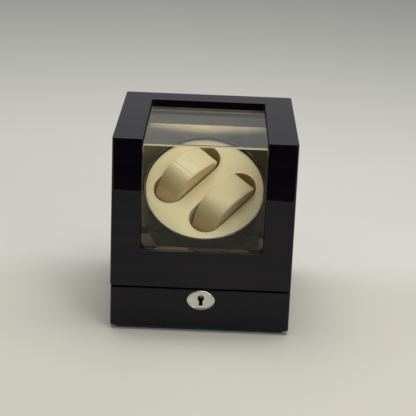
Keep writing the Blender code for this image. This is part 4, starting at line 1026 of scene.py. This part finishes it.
def make_cushion(name, side, tip_x, turn, sink, leather, creases=()):
    # About Y the right-hand rule tips +X down, so a raised tip is a negative turn.
    tilt = Matrix.Translation((0, 0, -sink)) @ Matrix.Rotation(-turn, 4, "Y")
    block = padded_block(tip_x, tilt, leather)
    fill(block)
    block.name = block.data.name = f"cushion_{name}"
    soften = block.modifiers.new("soften", "SMOOTH")
    soften.factor = 0.5
    soften.iterations = 3
    subdivide = block.modifiers.new("subdivide", "SUBSURF")
    subdivide.levels = subdivide.render_levels = 1
    apply_modifiers(block)
    sew(block, creases)
    block.data.transform(slot_matrix(side))
    smooth(block, 60)
    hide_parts(f"pillow_{name}")
    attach(block, f"pillow_{name}")


def sew(target, creases):
    """Presses the seam along both side edges, and any creases across the crown, into the mesh."""
    normals = [vertex.normal.copy() for vertex in target.data.vertices]
    for vertex, normal in zip(target.data.vertices, normals):
        x, y, z = vertex.co
        depth = 0.0
        if abs(normal.y) < 0.6:
            for edge in (PILLOW_LOW_SIDE + SEAM_AT, PILLOW_HIGH_SIDE - SEAM_AT):
                depth += SEAM_DEEP * math.exp(-(((y - edge) / SEAM_WIDE) ** 2))
            if z > CREASE_LOW:
                for place, wide, deep in creases:
                    bow = CREASE_BOW * math.cos(y / CREASE_SPAN)
                    depth += deep * math.exp(-(((x - place - bow) / wide) ** 2))
        vertex.co -= normal * depth


# ---------------------------------------------------------------- pieces carried over from the frame


def dress_frame():
    finishes = {
        "ebony_lacquer": WOOD,
        "fibreboard": BOARD,
        "dark_felt": FELT,
        "beige_velvet": VELVET,
        "clear_acrylic": TOP_ACRYLIC,
        "black_plastic": MATT_BLACK,
        "cream_face": SUEDE,
        "cream_leatherette": LEATHER,
        "silver_plate": SILVER,
        "zinc_steel": STEEL,
        "hinge_brass": BRASS,
        "black_rubber": RUBBER,
        "board_green": GREEN,
    }
    edges = {"window_front_pane": 0.15 * MM, "window_top_pane": 0.15 * MM}
    for name in ("motor_gearbox", "dc_jack", "mode_switch_body", "mode_knob"):
        edges[name] = 0.3 * MM
    for name in ("bottom_felt", "deck_board"):
        edges[name] = 0.5 * MM
    for wall in ("left", "right", "rear", "front"):
        edges[f"lid_lining_{wall}"] = 0.5 * MM
    kept = {name: obj for name, obj in nodes.items() if not obj.hide_render}
    del kept["lock_case"]
    for name, target in kept.items():
        slot = target.data.materials[0].name.split(".")[0]
        dress(name, finishes[slot], edges.get(name, 0.0))
    # The lock case is painted near black: painted shade seen through the keyhole.
    dress("lock_case", LOCK_STEEL_PAINTED_SHADE)
    nodes["window_front_pane"].data.materials[0] = FRONT_ACRYLIC
    # Painted shade on the front pane's top and bottom edges.
    edge_faces("window_front_pane", 2, 1, EDGE_PAINTED_SHADE)
    edge_faces("window_front_pane", 2, -1, EDGE_PAINTED_SHADE)
    # Painted highlight and painted glow on the top pane's front edge.
    edge_faces("window_top_pane", 1, -1, EDGE_PAINTED_GLOW)


def edge_faces(name, axis, sign, finish):
    """Gives the faces that look along one axis a finish for the sheet's polished edge, here its painted
    shade and painted glow.
    """
    mesh = nodes[name].data
    mesh.materials.append(finish)
    for face in mesh.polygons:
        if face.normal[axis] * sign > 0.9:
            face.material_index = len(mesh.materials) - 1


# ---------------------------------------------------------------- stage


def make_floor():
    bm = bmesh.new()
    far = FLOOR_HALF
    corners = ((-far, -far), (far, -far), (far, far), (-far, far))
    bm.faces.new([bm.verts.new((x, y, 0)) for x, y in corners])
    return bm


def make_card():
    """A black card in front, seen only in the gloss: it lies just over the floor, then stands up."""
    slope = (CARD_NEAR_RIGHT - CARD_NEAR_LEFT) / (LID_HIGH.x - LID_LOW.x)
    height = 1 * MM
    bm = bmesh.new()
    near, far, top = [], [], []
    for x in (-CARD_HALF_W, CARD_HALF_W):
        near.append(bm.verts.new((x, CARD_NEAR_LEFT + (x - LID_LOW.x) * slope, height)))
        far.append(bm.verts.new((x, CARD_FAR, height)))
        top.append(bm.verts.new((x, CARD_FAR, CARD_TOP)))
    bm.faces.new((near[0], near[1], far[1], far[0]))
    bm.faces.new((far[0], far[1], top[1], top[0]))
    return bm


def make_stage():
    ground = new_object("floor", make_floor(), plain_floor())
    black = Shader("black_card", Base_Color=(0, 0, 0, 1), Roughness=1.0, Specular_IOR_Level=0.0)
    flag = new_object("black_card", make_card(), black.material)
    flag.visible_camera = False
    flag.visible_diffuse = False
    flag.visible_shadow = False
    flag.visible_transmission = False

    world = bpy.data.worlds.new("studio")
    world.use_nodes = True
    sky = world.node_tree.nodes["Background"]
    sky.inputs["Color"].default_value = (0.93, 0.95, 1.0, 1.0)
    sky.inputs["Strength"].default_value = 0.30
    bpy.context.scene.world = world


def area_light(name, place, target, size, power, colour, spread=180.0, mirrored=True):
    data = bpy.data.lights.new(name, "AREA")
    data.shape = "RECTANGLE"
    data.size, data.size_y = size
    data.energy = power
    data.color = colour
    data.spread = math.radians(spread)
    lamp = bpy.data.objects.new(name, data)
    bpy.context.scene.collection.objects.link(lamp)
    lamp.location = place
    lamp.rotation_euler = (Vector(target) - Vector(place)).to_track_quat("-Z", "Y").to_euler()
    lamp.visible_camera = False
    lamp.visible_glossy = mirrored


def make_lights():
    centre = (0, 0, 0.10)
    area_light(
        "overhead",
        place=(0.10, 0.12, 1.55),
        target=centre,
        size=(1.5, 1.1),
        power=19.2,
        colour=(1.0, 0.99, 0.955),
    )
    area_light(
        "front_key",
        place=(0.70, -1.10, 0.75),
        target=centre,
        size=(0.5, 0.35),
        power=3.6,
        colour=(1.0, 0.985, 0.95),
    )
    area_light(
        "low_fill",
        place=(0.45, -1.05, 0.28),
        target=(0.005, -0.050, 0.090),
        size=(0.12, 0.12),
        power=0.0045,
        colour=(0.93, 0.97, 1.0),
        spread=10.0,
        mirrored=False,
    )
    light_band()


def light_band():
    """A flat beam on the rear lining alone, cut off at the top by the roof's edge."""
    data = bpy.data.lights.new("band", "SPOT")
    data.energy = 20.5
    data.color = (1.0, 0.97, 0.88)
    data.spot_size = math.radians(2.5)
    data.spot_blend = 1.0
    data.shadow_soft_size = 2 * MM
    lamp = bpy.data.objects.new("band", data)
    bpy.context.scene.collection.objects.link(lamp)
    toward = Vector((0, -math.cos(BEAM_RISE), math.sin(BEAM_RISE)))
    middle = Vector((0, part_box("lid_lining_rear")[0].y, LID_HIGH.z - BEAM_BELOW_TOP))
    lamp.location = middle + toward * BEAM_REACH
    lamp.rotation_euler = toward.to_track_quat("Z", "Y").to_euler()
    lamp.scale = (9.0, 1.0, 1.0)
    lamp.visible_glossy = False
    lit = bpy.data.collections.new("band_receivers")
    lit.objects.link(nodes["lid_lining_rear"])
    lamp.light_linking.receiver_collection = lit


def make_camera():
    data = bpy.data.cameras.new("camera")
    data.lens = CAMERA_LENS
    camera = bpy.data.objects.new("camera", data)
    bpy.context.scene.collection.objects.link(camera)
    heading = Matrix.Rotation(CAMERA_HEADING, 4, "Z")
    pitch = Matrix.Rotation(math.pi / 2 - CAMERA_PITCH, 4, "X")
    roll = Matrix.Rotation(CAMERA_ROLL, 4, "Z")
    camera.matrix_world = Matrix.Translation(CAMERA_PLACE) @ heading @ pitch @ roll
    bpy.context.scene.camera = camera


def main():
    make_camera()
    make_stage()
    make_lights()
    make_lid()
    make_base()
    make_escutcheon()
    make_cup()
    make_face()
    make_tray("upper", 1)
    make_tray("lower", -1)
    make_cushion("upper", 1, UPPER_PILLOW_TIP, 0.0, 0.0, LEATHER, UPPER_PILLOW_CREASES)
    make_cushion("lower", -1, LOWER_PILLOW_TIP, LOWER_PILLOW_TURN, LOWER_PILLOW_SINK, DARKER_LEATHER)
    dress_frame()
    bpy.context.scene.view_settings.view_transform = "Standard"
    bpy.context.view_layer.update()


main()
